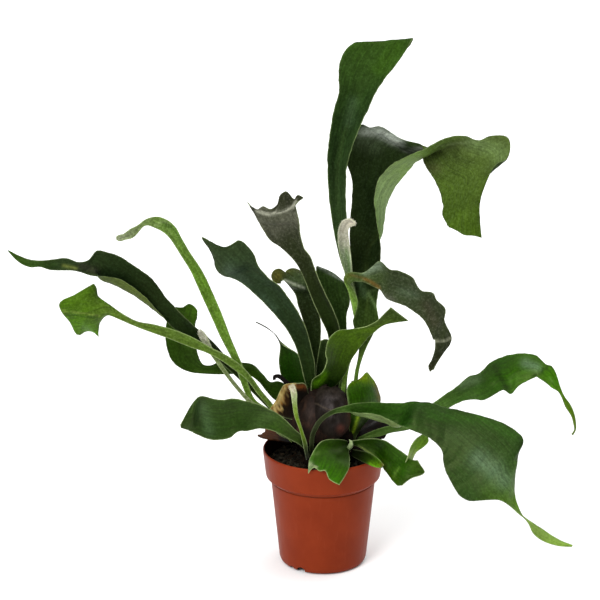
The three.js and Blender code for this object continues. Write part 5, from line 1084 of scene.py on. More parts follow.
# Fronds
def along_stops(stops, share):
    """Values at shares of the length. A stop is its share and its value or values."""
    places, *columns = zip(*stops)
    return np.stack([np.interp(share, places, column) for column in columns], -1)


def toned(color):
    """A seen colour as the colour of the leaf in neutral light. Greys keep more of their blue."""
    grey = smooth_step(min(color) / max(color), *GREYNESS)
    return linear(color) * (LEAF_SHARE + (PALE_SHARE - LEAF_SHARE) * grey)


def leaf_tint(look, surface, face, along, width, to_margin):
    """Colour and felt at each point of one face of a blade."""
    stops = [(share, *toned(color)) for share, *color in look.get(face, LEAF_UNDER)]
    share = along / np.maximum(along[-1:], 1e-6)
    if "ragged" in look:
        share = np.clip(share + look["ragged"] * noisy(surface, *RAGGED_NOISE), 0, 1)
    color = along_stops(stops, share)
    seen = board_places(surface)
    for line, reach, paint, strength in look.get(face + "_marks", ()):
        color = painted(color, paint, strength * bell(distance_to_line(seen, line), 0, reach), toned)
    margin = look.get("margin", MARGIN_STRENGTH) * smooth_step(width, 1, NARROW)
    color = painted(color, MARGIN_COLOR, margin * bell(to_margin, 0, MARGIN_REACH))
    return with_felt(color, along_stops(look.get(face + "_felt", look["felt"]), share))


def blade_parts(name, rows, cup, random, look):
    """Points, faces, tints and blade places of one blade or tine."""
    columns = LOBED_COLUMNS if name in LOBED else BLADE_COLUMNS
    surface = ruffled(blade_surface(rows, cup, columns), look["ruffle"], random)
    along, across, width, to_margin = measures(surface)
    points, faces, inner = plate_body(surface, leaf_thickness(width), to_margin)
    upper, under = (leaf_tint(look, surface, face, along, width, to_margin)
                    for face in ("upper", "under"))
    tint = np.concatenate([upper.reshape(-1, 4), under[inner]])
    places = np.stack([across - width / 2, along, to_margin], -1)
    blade = np.concatenate([places.reshape(-1, 3), places[inner]])
    return points, faces, tint, blade


def joined(parts):
    """Points, faces, tints and blade places of several blades as one."""
    firsts = np.cumsum([0] + [len(part[0]) for part in parts])
    parts = [(points, faces + first, tint, blade)
             for (points, faces, tint, blade), first in zip(parts, firsts)]
    return [np.concatenate(arrays) for arrays in zip(*parts)]


def add_frond(name, materials, random):
    look = LOOKS[name]
    parts = [blade_parts(name, FRONDS[name], CUPS.get(name, BLADE_CUP), random, look)]
    if name in SECOND_TINES:
        parts.append(blade_parts(name, SECOND_TINES[name], BLADE_CUP, random, look | look["tine"]))
    points, faces, tint, blade = joined(parts)
    slot = look["slot"]
    add_piece(name + "_leaf", points, faces, materials[slot], slot, tint, blade, (name,))
    if "hair" in look:
        add_hair(name + "_hair", points, faces, tint, look["hair"], materials[slot], slot, random)


def spikes(feet, tips, sides, width):
    """Points and faces of slim closed spikes with three-cornered feet."""
    axis = tips - feet
    axis /= np.linalg.norm(axis, axis=1, keepdims=True)
    across = np.cross(axis, sides)
    across /= np.linalg.norm(across, axis=1, keepdims=True)
    other = np.cross(axis, across)
    corners = [feet + width * (math.cos(turn) * across + math.sin(turn) * other)
               for turn in (0, 2 * math.pi / 3, 4 * math.pi / 3)]
    return pyramids(corners, tips)


def add_hair(name, points, faces, tint, count, material, slot, random):
    """Fine hairs standing on the felted part of a blade."""
    corners = points[faces]
    normals = np.cross(corners[:, 2] - corners[:, 0], corners[:, 3] - corners[:, 1])
    areas = np.linalg.norm(normals, axis=1)
    felt = tint[faces][..., 3].mean(axis=1)
    weights = areas * np.maximum(felt - HAIRLESS_FELT, 0)
    chosen = random.choice(len(faces), count, p=weights / weights.sum())
    shares = random.dirichlet((1, 1, 1, 1), count)
    feet = (corners[chosen] * shares[..., None]).sum(axis=1)
    outward = normals[chosen] / np.maximum(areas[chosen], 1e-9)[:, None]
    lean = outward + random.normal(0, HAIR_LEAN, (count, 3))
    lean /= np.linalg.norm(lean, axis=1, keepdims=True)
    tips = feet + lean * random.uniform(*HAIR_LENGTH, count)[:, None] * felt[chosen][:, None]
    hair_points, hair_faces = spikes(feet, tips, random.normal(0, 1, (count, 3)), HAIR_WIDTH / 2)
    hair_tint = np.tile([*linear(HAIR_COLOR), 1], (len(hair_points), 1))
    blade = np.full_like(hair_points, FAR_FROM_MARGIN)
    add_piece(name, hair_points, hair_faces, material, slot, hair_tint, blade)


# Shields
def shield_surface(shield):
    """A waved, uneven piece of an ellipsoid."""
    turn = np.radians(np.linspace(*shield["turn"], shield["columns"]))[None, :]
    rise = np.radians(np.linspace(*shield["rise"], shield["rows"]))[:, None]
    turn, rise = np.broadcast_arrays(turn, rise)
    wave = 1 + shield["ruffle"] * np.sin(5 * turn + 2.3 * rise) * np.cos(3.1 * rise)
    outward = np.stack([np.cos(turn) * np.cos(rise), np.sin(turn) * np.cos(rise), np.sin(rise)], -1)
    surface = np.array(shield["center"]) + outward * np.array(shield["radii"]) * wave[..., None]
    return surface + surface_normals(surface) * relief(surface, shield["relief"])[..., None]


def below_flap(points):
    """How far below the lower margin of the dome's upper layer points lie, along the board."""
    across, up = np.moveaxis(board_places(points), -1, 0)
    return np.interp(across, *zip(*FLAP_MARGIN)) - up


def dome_surface():
    """The dome over the rootstock, its upper layer ending in a step above its lower layer."""
    surface = shield_surface(DOME)
    step = FLAP_STEP * (1 - smooth_step(below_flap(surface), *FLAP_EDGE))
    return surface + surface_normals(surface) * step[..., None]


def skirt_surface():
    """The old shield's ragged plate, spread behind the rhizome over the pot's rim."""
    turn = np.radians(np.linspace(*SKIRT["turn"], SKIRT["columns"]))[:, None]
    out = np.linspace(1, 0, SKIRT["rows"])[None, :]
    (inner_radius, inner_height), (outer_radius, outer_height) = SKIRT["inner"], SKIRT["outer"]
    reach = outer_radius + SKIRT["ragged"] * np.sin(7 * turn) * np.cos(3 * turn + 1)
    radius = inner_radius + (reach - inner_radius) * out
    lift_turn, lift_reach, lift_height = SKIRT["lift"]
    lift = lift_height * bell(turn, math.radians(lift_turn), math.radians(lift_reach))
    sag = out * (SKIRT["sag"] * np.sin(6 * turn) + lift)
    height = inner_height + (outer_height - inner_height) * out + sag
    surface = np.stack([radius * np.cos(turn), radius * np.sin(turn), height], -1)
    rough = noisy(surface, *SKIRT["noise"])
    surface[..., 2] += SKIRT["uneven"] * rough * out
    surface[..., :2] *= (1 + SKIRT["torn"] * rough * out**4)[..., None]
    return surface


def dome_color(points):
    """Dark purple-brown, with painted grey highlights over the middle, and reddish towards the bottom
    right.
    """
    across, up = np.moveaxis(board_places(points), -1, 0)
    mottle = 0.4 + 0.9 * noisy(points * np.array([1, 1, 0.6]), 7, 3)
    # Painted highlights: paler grey at two spots over the middle.
    pale = spot(points, *DOME_HIGHLIGHT_SPOT) + 0.5 * spot(points, *DOME_FAINT_HIGHLIGHT_SPOT)
    color = painted(linear(DOME_DARK), DOME_HIGHLIGHT, np.clip(pale * mottle * 1.3, 0, 1))
    color = painted(color, DOME_TOP, 0.6 * bell(up, *DOME_TOP_BAND) * np.clip(mottle + 0.2, 0, 1))
    color = painted(color, DOME_RIGHT, 0.7 * bell(across, *DOME_RIGHT_BAND))
    color = painted(color, DOME_RED, 0.7 * spot(points, *DOME_RED_SPOT))
    return painted(color, DOME_FLAP_EDGE, 0.5 * bell(below_flap(points), *DOME_FLAP_BAND))


def left_shield_color(points):
    """Nearly black brown, with rusty streaks and a paler grey patch."""
    streak = np.clip(noisy(points * np.array([1.6, 1.6, 0.5]), 9, 5), 0, 1)
    color = painted(linear(LEFT_SHIELD_DARK), LEFT_SHIELD_RUST, 0.8 * streak)
    return painted(color, LEFT_SHIELD_PALE_PATCH, 0.8 * spot(points, *LEFT_SHIELD_PALE_SPOT))


def skirt_color(points):
    """Nearly black, with brown streaks and a rusty left edge."""
    streak = np.clip(noisy(points, 8, 8), 0, 1)
    color = painted(linear(SKIRT_DARK), SKIRT_BROWN, 0.5 * streak)
    left_edge = smooth_step(-points[:, 0], *SKIRT_RUST_FROM)
    return painted(color, SKIRT_RUST, left_edge * (0.4 + 0.6 * streak))


def add_shields(material):
    for name, node, surface, color_at in (
        ("shield_dome_shell", "shield_dome", dome_surface(), dome_color),
        ("shield_left_shell", "shield_left", shield_surface(LEFT_SHIELD), left_shield_color),
        ("shield_old_plate", "shield_old", skirt_surface(), skirt_color),
    ):
        along, _, width, to_margin = measures(surface)
        thickness = np.full_like(width, SHIELD_THICKNESS)
        points, faces, _ = plate_body(surface, thickness, np.minimum(to_margin, along))
        tint = with_felt(color_at(points))
        add_piece(name, points, faces, material, "shield_brown", tint, np.zeros_like(points), (node,))


def add_dead_tip(material, random):
    """The dry curled tip of an old frond, on top of the torn shield."""
    surface = blade_surface(DEAD_TIP, DEAD_TIP_CUP, DEAD_TIP_COLUMNS)
    surface = ruffled(surface, DEAD_TIP_RUFFLE, random)
    _, _, width, to_margin = measures(surface)
    points, faces, _ = plate_body(surface, np.full_like(width, DEAD_TIP_THICKNESS), to_margin)
    tint = np.tile([*linear(DEAD_TIP_COLOR), 0], (len(points), 1))
    add_piece("dead_tip", points, faces, material, "shield_brown", tint, np.zeros_like(points))


# Rhizome
def earth_tint(points, dark, pale):
    """Earthy colours between a dark one and a pale one, without felt."""
    share = np.clip(0.4 + 0.8 * noisy(points, 6, 31), 0, 1)
    return with_felt(painted(linear(dark), pale, share))


def add_rhizome(material, random):
    """The knobs of the rootstock grown into one lumpy, scaly body."""
    lobes = merged(ball(*lobe, LOBE_SEGMENTS, LOBE_RINGS) for lobe in RHIZOME_LOBES)
    core = new_object("rhizome_core", new_mesh("rhizome_core", *lobes))
    remesh = core.modifiers.new("grown", "REMESH")
    remesh.mode = "VOXEL"
    remesh.voxel_size = RHIZOME_VOXEL * MM
    grown = evaluated_mesh(core)
    body = read_vectors(grown.vertices, "co") / MM
    heights = relief(body, RHIZOME_RELIEF) - RHIZOME_SINK
    body += read_vectors(grown.vertex_normals, "vector") * heights[:, None]
    grown.vertices.foreach_set("co", (body * MM).ravel())
    store(grown.color_attributes.new("tint", "FLOAT_COLOR", "POINT"), "color",
          earth_tint(body, *RHIZOME_COLORS))
    add_scales(body, read_vectors(grown.vertex_normals, "vector"), material, random)
    dress("rhizome_body", grown, material, ("rhizome",))


def add_scales(body, normals, material, random):
    """Papery scales that lie over the rootstock, pointing up, each a slim closed wedge."""
    chosen = random.choice(len(body), SCALES, replace=False)
    feet = body[chosen]
    outward = normals[chosen]
    upward = np.array([0, 0, 1.0]) + random.normal(0, SCALE_LEAN, (SCALES, 3))
    along = upward - outward * (upward * outward).sum(axis=1, keepdims=True)
    along /= np.linalg.norm(along, axis=1, keepdims=True)
    length = random.uniform(*SCALE_LENGTH, SCALES)[:, None]
    tips = feet + along * length + outward * length * SCALE_LIFT
    side = np.cross(along, outward) * length * SCALE_HALF_WIDTH
    points, faces = pyramids((feet - side, feet + side, feet + outward * SCALE_THICKNESS), tips)
    color = painted(linear(SCALE_DARK), SCALE_PALE, random.uniform(0, 1, SCALES) ** 2)
    to_bud = np.linalg.norm(feet - SCALY_BUD, axis=1)
    color = painted(color, SCALE_REDDISH, np.exp(-to_bud / SCALY_BUD_REACH))
    tint = np.repeat(with_felt(color), 4, axis=0)
    add_piece("rhizome_scales", points, faces, material, "rhizome", tint)


def add_young_shoot(material):
    """A pale fuzzy shoot, just unrolling from the rootstock."""
    base, middle, tip = (place(point) for point in SHOOT)
    spine = [(1 - t) ** 2 * base + 2 * t * (1 - t) * middle + t * t * tip
             for t in np.linspace(0, 1, SHOOT_RINGS)]
    radii = SHOOT_RADIUS * np.sin(math.pi * np.linspace(*SHOOT_SWELL, SHOOT_RINGS))
    points, faces = tube(spine, radii, SHOOT_SEGMENTS)
    points += relief(points, SHOOT_RELIEF)[:, None] * np.array([1, 1, 0.4])
    share = np.clip(np.linalg.norm(points - base, axis=1) / np.linalg.norm(tip - base), 0, 1)
    color = painted(linear(SHOOT_FOOT_COLOR), SHOOT_TIP_COLOR, share)
    tint = with_felt(color, 0.05 + 0.25 * share[:, None])
    blade = np.full_like(points, FAR_FROM_MARGIN)
    add_piece("young_shoot", points, faces, material, "frond_young", tint, blade)


def root_fiber(random):
    """Points and faces of one wiry root, from the foot of the rootstock over the soil and into it."""
    turn = random.uniform(0, 2 * math.pi)
    start = random.uniform(*FIBER_STARTS)
    reach = random.uniform(*FIBER_REACHES)
    bend = random.uniform(*FIBER_BENDS)
    spine = []
    for t in np.linspace(0, 1, FIBER_RINGS):
        radius = min(start + reach * t, FIBER_OUTMOST)
        x = radius * math.cos(turn + bend * t)
        y = radius * math.sin(turn + bend * t)
        lift = FIBER_START_HEIGHT * (1 - t) ** 2 + FIBER_ARCH * math.sin(math.pi * t)
        lift -= FIBER_END_DEPTH * t**4
        spine.append((x, y, soil_height(x, y) + lift))
    return tube(spine, np.linspace(*FIBER_RADII, FIBER_RINGS), FIBER_SEGMENTS)


def add_root_fibers(material, random):
    points, faces = merged(root_fiber(random) for _ in range(ROOT_FIBERS))
    tint = earth_tint(points, *FIBER_COLORS)
    add_piece("root_fibers", points, faces, material, "rhizome", tint)


# Soil
def soil_height(x, y):
    radius = np.hypot(x, y)
    crown = SOIL_CROWN * (1 - (radius / BAND_RADIUS) ** 2)
    lump = SOIL_LUMP * np.sin(0.31 * x + 1) * np.cos(0.27 * y - 0.4 * x)
    return SOIL_EDGE_HEIGHT + crown + lump * (1 - smooth_step(radius, *SOIL_LUMPS_END))


def add_soil(material):
    """The soil's body down to the pot's floor, its top broken up."""
    inner = WALL + SOIL_GAP
    bottom = POT_FLOOR + SOIL_GAP
    wall = ((FLAT_BASE_RADIUS - 1, bottom), (FOOT_RADIUS - inner, 6.2),
            (SHOULDER_RADIUS - inner, SHOULDER_BOTTOM + 0.8),
            (SHOULDER_RADIUS - inner + 0.8, SHOULDER_BOTTOM + 3.4),
            (BAND_RADIUS - inner, BAND_BOTTOM + 2.4), (BAND_RADIUS - inner + 0.7, SOIL_EDGE_HEIGHT))
    rings = [circle(radius, height, SOIL_SEGMENTS) for radius, height in wall]
    for radius in np.linspace(BAND_RADIUS - inner, 0.8, SOIL_TOP_RINGS):
        ring = circle(radius, 0.0, SOIL_SEGMENTS)
        ring[:, 2] = soil_height(ring[:, 0], ring[:, 1])
        broken = 1 - 0.7 * smooth_step(radius, *SOIL_RELIEF_CALMS)
        ring[:, 2] += relief(ring, SOIL_RELIEF) * broken
        rings.append(ring)
    points, faces = ring_body(rings, (0, 0, bottom), (0, 0, soil_height(0, 0)))
    tint = earth_tint(points, *SOIL_COLORS)
    add_piece("soil_bed", points, faces, material, "soil", tint, replaces=("soil",))


def add_crumbs(material, random):
    """Loose crumbs on the soil."""
    crumbs = []
    tints = []
    for _ in range(CRUMBS):
        radius = CRUMB_REACH * math.sqrt(random.uniform(0.05, 1))
        turn = random.uniform(0, 2 * math.pi)
        x = radius * math.cos(turn)
        y = radius * math.sin(turn)
        length = random.uniform(*CRUMB_SIZE)
        width = length * random.uniform(0.5, 1)
        height = length * random.uniform(0.4, 0.8)
        center = (x, y, soil_height(x, y) + CRUMB_LIFT * height)
        points, faces = ball(center, (length, width, height), CRUMB_SEGMENTS, CRUMB_RINGS)
        points += random.normal(0, CRUMB_ROUGHNESS, points.shape) * (length, width, height)
        color = painted(linear(CRUMB_DARK), CRUMB_PALE, random.uniform() ** 3)
        crumbs.append((points, faces))
        tints.append(np.tile([*color, 0], (len(points), 1)))
    add_piece("soil_crumbs", *merged(crumbs), material, "soil", np.concatenate(tints))


# Pot
def pot_profile():
    """Radius and height from the middle of the base up the outside and down the inside."""
    return [
        (0, 0), (FLAT_BASE_RADIUS, 0), (FOOT_RADIUS - 1.2, 1.6), (FOOT_RADIUS, 5),
        (SHOULDER_RADIUS - 0.1, SHOULDER_BOTTOM - 1), (SHOULDER_RADIUS - 0.8, SHOULDER_BOTTOM - 0.2),
        (SHOULDER_RADIUS + 0.5, SHOULDER_BOTTOM + 0.6), (SHOULDER_RADIUS + 1.4, SHOULDER_BOTTOM + 2.3),
        (BAND_RADIUS - 0.2, BAND_BOTTOM), (BAND_RADIUS + 0.2, BAND_BOTTOM + 2),
        (RIM_RADIUS - 0.2, POT_HEIGHT - 4), (RIM_RADIUS, POT_HEIGHT - 1.2),
        (RIM_RADIUS - 0.7, POT_HEIGHT), (RIM_RADIUS - 1.6, POT_HEIGHT - 0.2),
        (RIM_RADIUS - 1.7, POT_HEIGHT - 1.4), (RIM_RADIUS - 0.3 - WALL, POT_HEIGHT - 4),
        (BAND_RADIUS - WALL, BAND_BOTTOM + 2), (SHOULDER_RADIUS - WALL + 1, SHOULDER_BOTTOM + 3),
        (SHOULDER_RADIUS - WALL, SHOULDER_BOTTOM + 0.6),
        (FOOT_RADIUS - WALL, 5.4), (FLAT_BASE_RADIUS - 0.5, POT_FLOOR), (0, POT_FLOOR),
    ]


def rounded(profile, corner):
    """The profile with each of its inner corners rounded by a short curve."""
    profile = np.array(profile, float)
    points = [profile[0]]
    for before, here, after in zip(profile, profile[1:], profile[2:]):
        spans = [side - here for side in (before, after)]
        lengths = [np.linalg.norm(span) for span in spans]
        cut = min(corner, *(0.45 * length for length in lengths))
        start, end = (here + span / length * cut for span, length in zip(spans, lengths))
        for t in (0, 0.33, 0.67, 1):
            points.append((1 - t) ** 2 * start + 2 * t * (1 - t) * here + t * t * end)
    return [*points, profile[-1]]


def notch_body(width, height, degrees):
    """Points and faces of an arched cutter across the foot of the pot."""
    half = width / 2
    arch = [(-half, -NOTCH_BELOW), (half, -NOTCH_BELOW)]
    arch += [(half * math.cos(t), height - half + half * math.sin(t))
             for t in np.linspace(0, math.pi, NOTCH_ARCH_POINTS)]
    turn = math.radians(degrees + NOTCH_SLANT)
    middle_x = FLAT_BASE_RADIUS * math.cos(math.radians(degrees))
    middle_y = FLAT_BASE_RADIUS * math.sin(math.radians(degrees))
    points = []
    for out in (-NOTCH_DEPTH, NOTCH_DEPTH):
        for across, up in arch:
            points.append((middle_x + out * math.cos(turn) - across * math.sin(turn),
                           middle_y + out * math.sin(turn) + across * math.cos(turn), up))
    count = len(arch)
    faces = [tuple(range(count))[::-1], tuple(range(count, 2 * count))]
    faces += [(k, (k + 1) % count, count + (k + 1) % count, count + k) for k in range(count)]
    return points, faces


def pot_darkening(points):
    """Darker all over the inside up to just under the rim, and painted shade along the crease outside.
    """
    radius = np.hypot(points[:, 0], points[:, 1])
    height = points[:, 2]
    heights, outside = zip(*((0, FOOT_RADIUS - 2), (5, FOOT_RADIUS), (SHOULDER_BOTTOM, SHOULDER_RADIUS),
                             (BAND_BOTTOM, BAND_RADIUS - 0.5), (POT_HEIGHT, RIM_RADIUS)))
    inside = radius < np.interp(height, heights, outside) - WALL * 0.7
    darkening = inside * (1 - smooth_step(height, POT_HEIGHT - 1.4, POT_HEIGHT - 0.2))
    # Painted shade along the crease under the band.
    return np.maximum(darkening, CREASE_PAINTED_SHADE * bell(height, SHOULDER_BOTTOM - 0.1, CREASE_REACH))


def add_pot(material):
    """The pot, turned, with its drain notches cut out of the foot."""
    profile = rounded(pot_profile(), POT_CORNER)
    body = new_object("pot_body", new_mesh("pot_body", *turned_body(profile, POT_SEGMENTS)))
    notches = []
    for i in range(NOTCH_COUNT):
        angle = NOTCH_FIRST_ANGLE + i * 360 / NOTCH_COUNT
        notches.append(notch_body(NOTCH_WIDTH, NOTCH_HEIGHT, angle))
        notches.append(notch_body(SMALL_NOTCH_WIDTH, SMALL_NOTCH_HEIGHT, angle + SMALL_NOTCH_TURN))
    cutter = new_object("notches", new_mesh("notches", *merged(notches)))
    cut = body.modifiers.new("notches", "BOOLEAN")
    cut.object = cutter
    cut.operation = "DIFFERENCE"
    cut.solver = "EXACT"
    mesh = evaluated_mesh(body)
    bpy.data.objects.remove(cutter)
    store(mesh.attributes.new("darkening", "FLOAT", "POINT"), "value",
          pot_darkening(read_vectors(mesh.vertices, "co") / MM))
    dress("pot_shell", mesh, material, ("pot",))
    mesh.set_sharp_from_angle(angle=SHARP_EDGE)


# Materials: the scale of a noise is its lumps per metre, and a bump's height is in metres
VEINS_PER_MM = (0.5, 0.03, 0)
VEIN_CHANGE = 0.34
MOTTLE_CHANGE = 0.45
SPECKLE_CHANGE = 0.5
LEAF_MOTTLE_SCALE = 60
LEAF_SPECKLE_SCALE = 430
LEAF_GRAIN_SCALE = 520
LEAF_BUMP = 0.0006
LEAF_SHEEN_COLOR = (214, 222, 200)
STRAND_SCALE = 330
DRY_MOTTLE_SCALE = 80
POT_MOTTLE_SCALE = 30
SCUFF_SCALE = 260
SCUFF_STRETCH = (1, 1, 0.12)
POT_GRAIN_SCALE = 1500
POT_BUMP = 0.0002


def set_inputs(tree, node, inputs):
    """An input given as a socket is linked, and any other is set as its value."""
    for key, value in inputs.items():
        if isinstance(value, bpy.types.NodeSocket):
            tree.links.new(value, node.inputs[key])
        else:
            node.inputs[key].default_value = value


def add_node(tree, kind, inputs=None, **settings):
    made = tree.nodes.new(kind)
    for key, value in settings.items():
        setattr(made, key, value)
    set_inputs(tree, made, inputs or {})
    return made


def new_material(name):
    material = bpy.data.materials.new(name)
    material.use_nodes = True
    tree = material.node_tree
    return material, tree, tree.nodes["Principled BSDF"]


def object_place(tree):
    return add_node(tree, "ShaderNodeTexCoord").outputs["Object"]


def attribute(tree, name):
    return add_node(tree, "ShaderNodeAttribute", attribute_name=name).outputs


def noise_value(tree, vector, scale, detail=3, roughness=0.55):
    return add_node(tree, "ShaderNodeTexNoise", {"Vector": vector, "Scale": scale, "Detail": detail,
                                                 "Roughness": roughness}).outputs["Fac"]


def mapped(tree, value, low, high, to_low=0, to_high=1):
    return add_node(tree, "ShaderNodeMapRange", {"Value": value, "From Min": low, "From Max": high,
                                                 "To Min": to_low, "To Max": to_high}).outputs["Result"]


def times(tree, first, second):
    return add_node(tree, "ShaderNodeMath", {0: first, 1: second}, operation="MULTIPLY").outputs[0]


def plus(tree, first, second):
    return add_node(tree, "ShaderNodeMath", {0: first, 1: second}, operation="ADD").outputs[0]


def stretched(tree, vector, factors):
    """Places made wider apart or closer together along each axis."""
    return add_node(tree, "ShaderNodeVectorMath", {0: vector, 1: factors},
                    operation="MULTIPLY").outputs[0]


def shaded(tree, color, value):
    """A colour made darker or paler by a value near 1."""
    return add_node(tree, "ShaderNodeVectorMath", {0: color, "Scale": value},
                    operation="SCALE").outputs[0]


def mix_colors(tree, color, other, share):
    """The float and colour inputs of a mix node share their names, so they are told by number."""
    inputs = {0: share, 6: color, 7: other}
    return add_node(tree, "ShaderNodeMix", inputs, data_type="RGBA").outputs[2]


def bumped(tree, height, strength, distance):
    inputs = {"Height": height, "Strength": strength, "Distance": distance}
    return add_node(tree, "ShaderNodeBump", inputs).outputs["Normal"]


def color_of(rgb):
    return (*linear(rgb), 1)


def leaf_material(name, hair_color, hair_share, contrast, roughness, sheen, specular,
                  specular_tint=(0.75, 1, 0.25, 1)):
    """Leathery leaf: mottled, with lengthwise veins, and star-shaped hairs where it is felted."""
    material, tree, shader = new_material(name)
    place_in_object = object_place(tree)
    tint = attribute(tree, "tint")
    blade = attribute(tree, "blade")["Vector"]
    veins = noise_value(tree, stretched(tree, blade, VEINS_PER_MM), 1, 3, 0.65)
    mottle = noise_value(tree, place_in_object, LEAF_MOTTLE_SCALE, 5, 0.6)
    speckle = noise_value(tree, place_in_object, LEAF_SPECKLE_SCALE, 3, 0.75)
    color = tint["Color"]
    for value, low, high, change in (
        (mottle, 0.25, 0.75, MOTTLE_CHANGE * contrast),
        (veins, 0.3, 0.7, VEIN_CHANGE),
        (speckle, 0.3, 0.7, SPECKLE_CHANGE * contrast),
    ):
        color = shaded(tree, color, mapped(tree, value, low, high, 1 - change, 1 + change))
    felt = times(tree, tint["Alpha"], hair_share)
    hairs = plus(tree, times(tree, mapped(tree, speckle, 0.5, 0.68), 0.85), 0.15)
    color = mix_colors(tree, color, color_of(hair_color), times(tree, felt, hairs))
    gloss = mapped(tree, mottle, 0.3, 0.7, roughness - 0.06, roughness + 0.08)
    grain = noise_value(tree, place_in_object, LEAF_GRAIN_SCALE, 3, 0.6)
    height = plus(tree, times(tree, grain, 0.5), times(tree, veins, 1.1))
    set_inputs(tree, shader, {
        "Base Color": color,
        "Roughness": plus(tree, gloss, times(tree, tint["Alpha"], 0.3)),
        "Normal": bumped(tree, height, 0.5, LEAF_BUMP),
        "Specular IOR Level": specular,
        "Specular Tint": specular_tint,
        "Sheen Weight": sheen,
        "Sheen Roughness": 0.45,
        "Sheen Tint": color_of(LEAF_SHEEN_COLOR),
    })
    return material


def dry_material(name, roughness, specular, fiber, bump_distance):
    """Dry plant matter or earth: the tinted colour with fibres and grain."""
    material, tree, shader = new_material(name)
    place_in_object = object_place(tree)
    along_fibers = stretched(tree, place_in_object, (1, 1, fiber))
    strands = noise_value(tree, along_fibers, STRAND_SCALE, 4, 0.65)
    mottle = noise_value(tree, place_in_object, DRY_MOTTLE_SCALE, 4)
    color = shaded(tree, attribute(tree, "tint")["Color"], mapped(tree, strands, 0.3, 0.7, 0.6, 1.45))
    set_inputs(tree, shader, {
        "Base Color": shaded(tree, color, mapped(tree, mottle, 0.3, 0.7, 0.75, 1.3)),
        "Roughness": mapped(tree, strands, 0.3, 0.7, roughness - 0.1, roughness + 0.1),
        "Normal": bumped(tree, strands, 0.6, bump_distance),
        "Specular IOR Level": specular,
    })
    return material


def pot_material():
    """Moulded plastic coloured like terracotta, faintly mottled, with fine scuffs up the wall."""
    material, tree, shader = new_material("pot_plastic")
    place_in_object = object_place(tree)
    mottle = noise_value(tree, place_in_object, POT_MOTTLE_SCALE, 4)
    scuffs = noise_value(tree, stretched(tree, place_in_object, SCUFF_STRETCH), SCUFF_SCALE, 3, 0.7)
    grain = noise_value(tree, place_in_object, POT_GRAIN_SCALE, 2)
    color = mix_colors(tree, color_of(POT_COLOR), color_of(POT_MOTTLE), mapped(tree, mottle, 0.3, 0.7))
    scuffed = times(tree, mapped(tree, scuffs, 0.58, 0.8), 0.5)
    color = mix_colors(tree, color, color_of(POT_SCUFF), scuffed)
    # Darker inside the pot, and painted shade along the crease under the band.
    darkening_share = times(tree, attribute(tree, "darkening")["Fac"], mapped(tree, mottle, 0.2, 0.6, 0.8, 1))
    set_inputs(tree, shader, {
        "Base Color": mix_colors(tree, color, color_of(POT_DARKENING), darkening_share),
        "Roughness": mapped(tree, scuffs, 0.3, 0.7, 0.36, 0.5),
        "Normal": bumped(tree, grain, 0.15, POT_BUMP),
        "Specular IOR Level": 0.09,
        "Specular Tint": (1, 0.7, 0.5, 1),
    })
    return material


def make_materials():
    """A material for each slot."""
    return {
        "frond_dark": leaf_material(
            "leaf_dark", hair_color=(112, 128, 100), hair_share=0.35, contrast=0.7,
            roughness=0.4, sheen=0, specular=0.1),
        "frond_green": leaf_material(
            "leaf_green", hair_color=(130, 150, 110), hair_share=0.3, contrast=0.6,
            roughness=0.36, sheen=0, specular=0.2, specular_tint=(0.75, 1, 0.35, 1)),
        "frond_bright": leaf_material(
            "leaf_bright", hair_color=(160, 176, 130), hair_share=0.35, contrast=0.8,
            roughness=0.4, sheen=0, specular=0.15),
        "frond_grey": leaf_material(
            "leaf_grey", hair_color=(124, 124, 112), hair_share=0.4, contrast=0.8,
            roughness=0.5, sheen=0.06, specular=0.11),
        "frond_young": leaf_material(
            "leaf_young", hair_color=(206, 202, 190), hair_share=0.85, contrast=0.5,
            roughness=0.75, sheen=0.3, specular=0.05, specular_tint=(1, 1, 1, 1)),
        "shield_brown": dry_material("dry_shield", 0.6, 0.045, fiber=0.3, bump_distance=0.0008),
        "rhizome": dry_material("rootstock", 0.8, 0.03, fiber=0.6, bump_distance=0.0012),
        "soil": dry_material("earth", 0.9, 0.04, fiber=1, bump_distance=0.0012),
        "pot": pot_material(),
    }


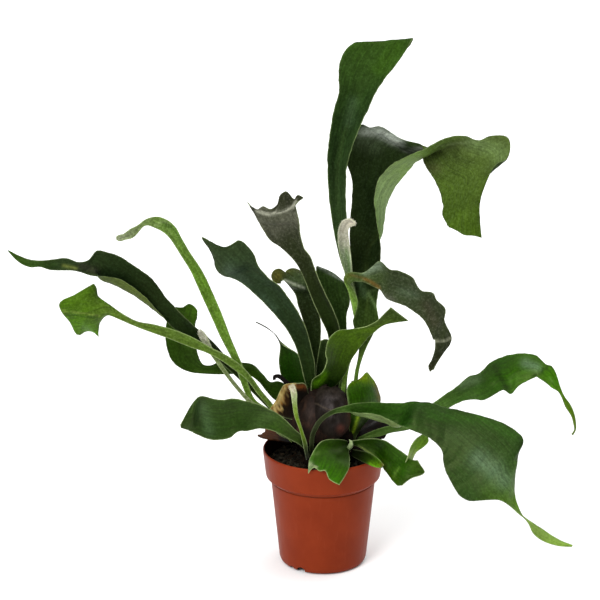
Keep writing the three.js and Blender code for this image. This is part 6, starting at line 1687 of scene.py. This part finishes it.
# Studio: direction, apparent angle in degrees and strength of each light, and the sky's strength
# between two heights
LIGHTS = {
    "key_light": ((0.65, 1.0, -1.0), 30, 2.2),
    "top_light": ((-0.35, -0.2, -1.0), 50, 1.2),
}
SKY_HEIGHTS = (0, 0.8)
SKY_STRENGTHS = (0.22, 1.0)
FLOOR_REACH = 8000
FLOOR_COLOR = (0.93, 0.93, 0.93, 1)


def add_floor():
    corners = np.array([(-1, -1, 0), (1, -1, 0), (1, 1, 0), (-1, 1, 0)]) * FLOOR_REACH
    mesh = new_mesh("floor", corners, [(0, 1, 2, 3)])
    material, tree, shader = new_material("floor_white")
    set_inputs(tree, shader, {"Base Color": FLOOR_COLOR, "Roughness": 0.9, "Specular IOR Level": 0.1})
    mesh.materials.append(material)
    new_object("floor", mesh)


def add_studio():
    """A plain pale sky, brighter higher up, and wide soft lights."""
    world = bpy.data.worlds.new("studio")
    world.use_nodes = True
    tree = world.node_tree
    direction = add_node(tree, "ShaderNodeTexCoord").outputs["Generated"]
    height = add_node(tree, "ShaderNodeSeparateXYZ", {"Vector": direction}).outputs["Z"]
    set_inputs(tree, tree.nodes["Background"], {
        "Color": (1, 1, 1, 1),
        "Strength": mapped(tree, height, *SKY_HEIGHTS, *SKY_STRENGTHS),
    })
    bpy.context.scene.world = world
    for name, (toward, angle, strength) in LIGHTS.items():
        data = bpy.data.lights.new(name, "SUN")
        data.angle = math.radians(angle)
        data.energy = strength
        new_object(name, data).rotation_euler = Vector(toward).to_track_quat("-Z", "Y").to_euler()
    bpy.context.scene.view_settings.view_transform = "Standard"


def add_camera():
    data = bpy.data.cameras.new("camera")
    data.sensor_width = SENSOR
    data.lens = LENS
    data.clip_end = FARTHEST_SEEN
    camera = new_object("camera", data)
    camera.location = EYE * MM
    camera.rotation_euler = (math.pi / 2 - LEAN, 0, 0)
    bpy.context.scene.camera = camera


def main():
    add_camera()
    add_studio()
    add_floor()
    materials = make_materials()
    random = np.random.default_rng(SEED)
    for name in FRONDS:
        add_frond(name, materials, random)
    add_shields(materials["shield_brown"])
    add_rhizome(materials["rhizome"], random)
    add_dead_tip(materials["shield_brown"], random)
    add_young_shoot(materials["frond_young"])
    add_root_fibers(materials["rhizome"], random)
    add_soil(materials["soil"])
    add_crumbs(materials["soil"], random)
    add_pot(materials["pot"])


main()
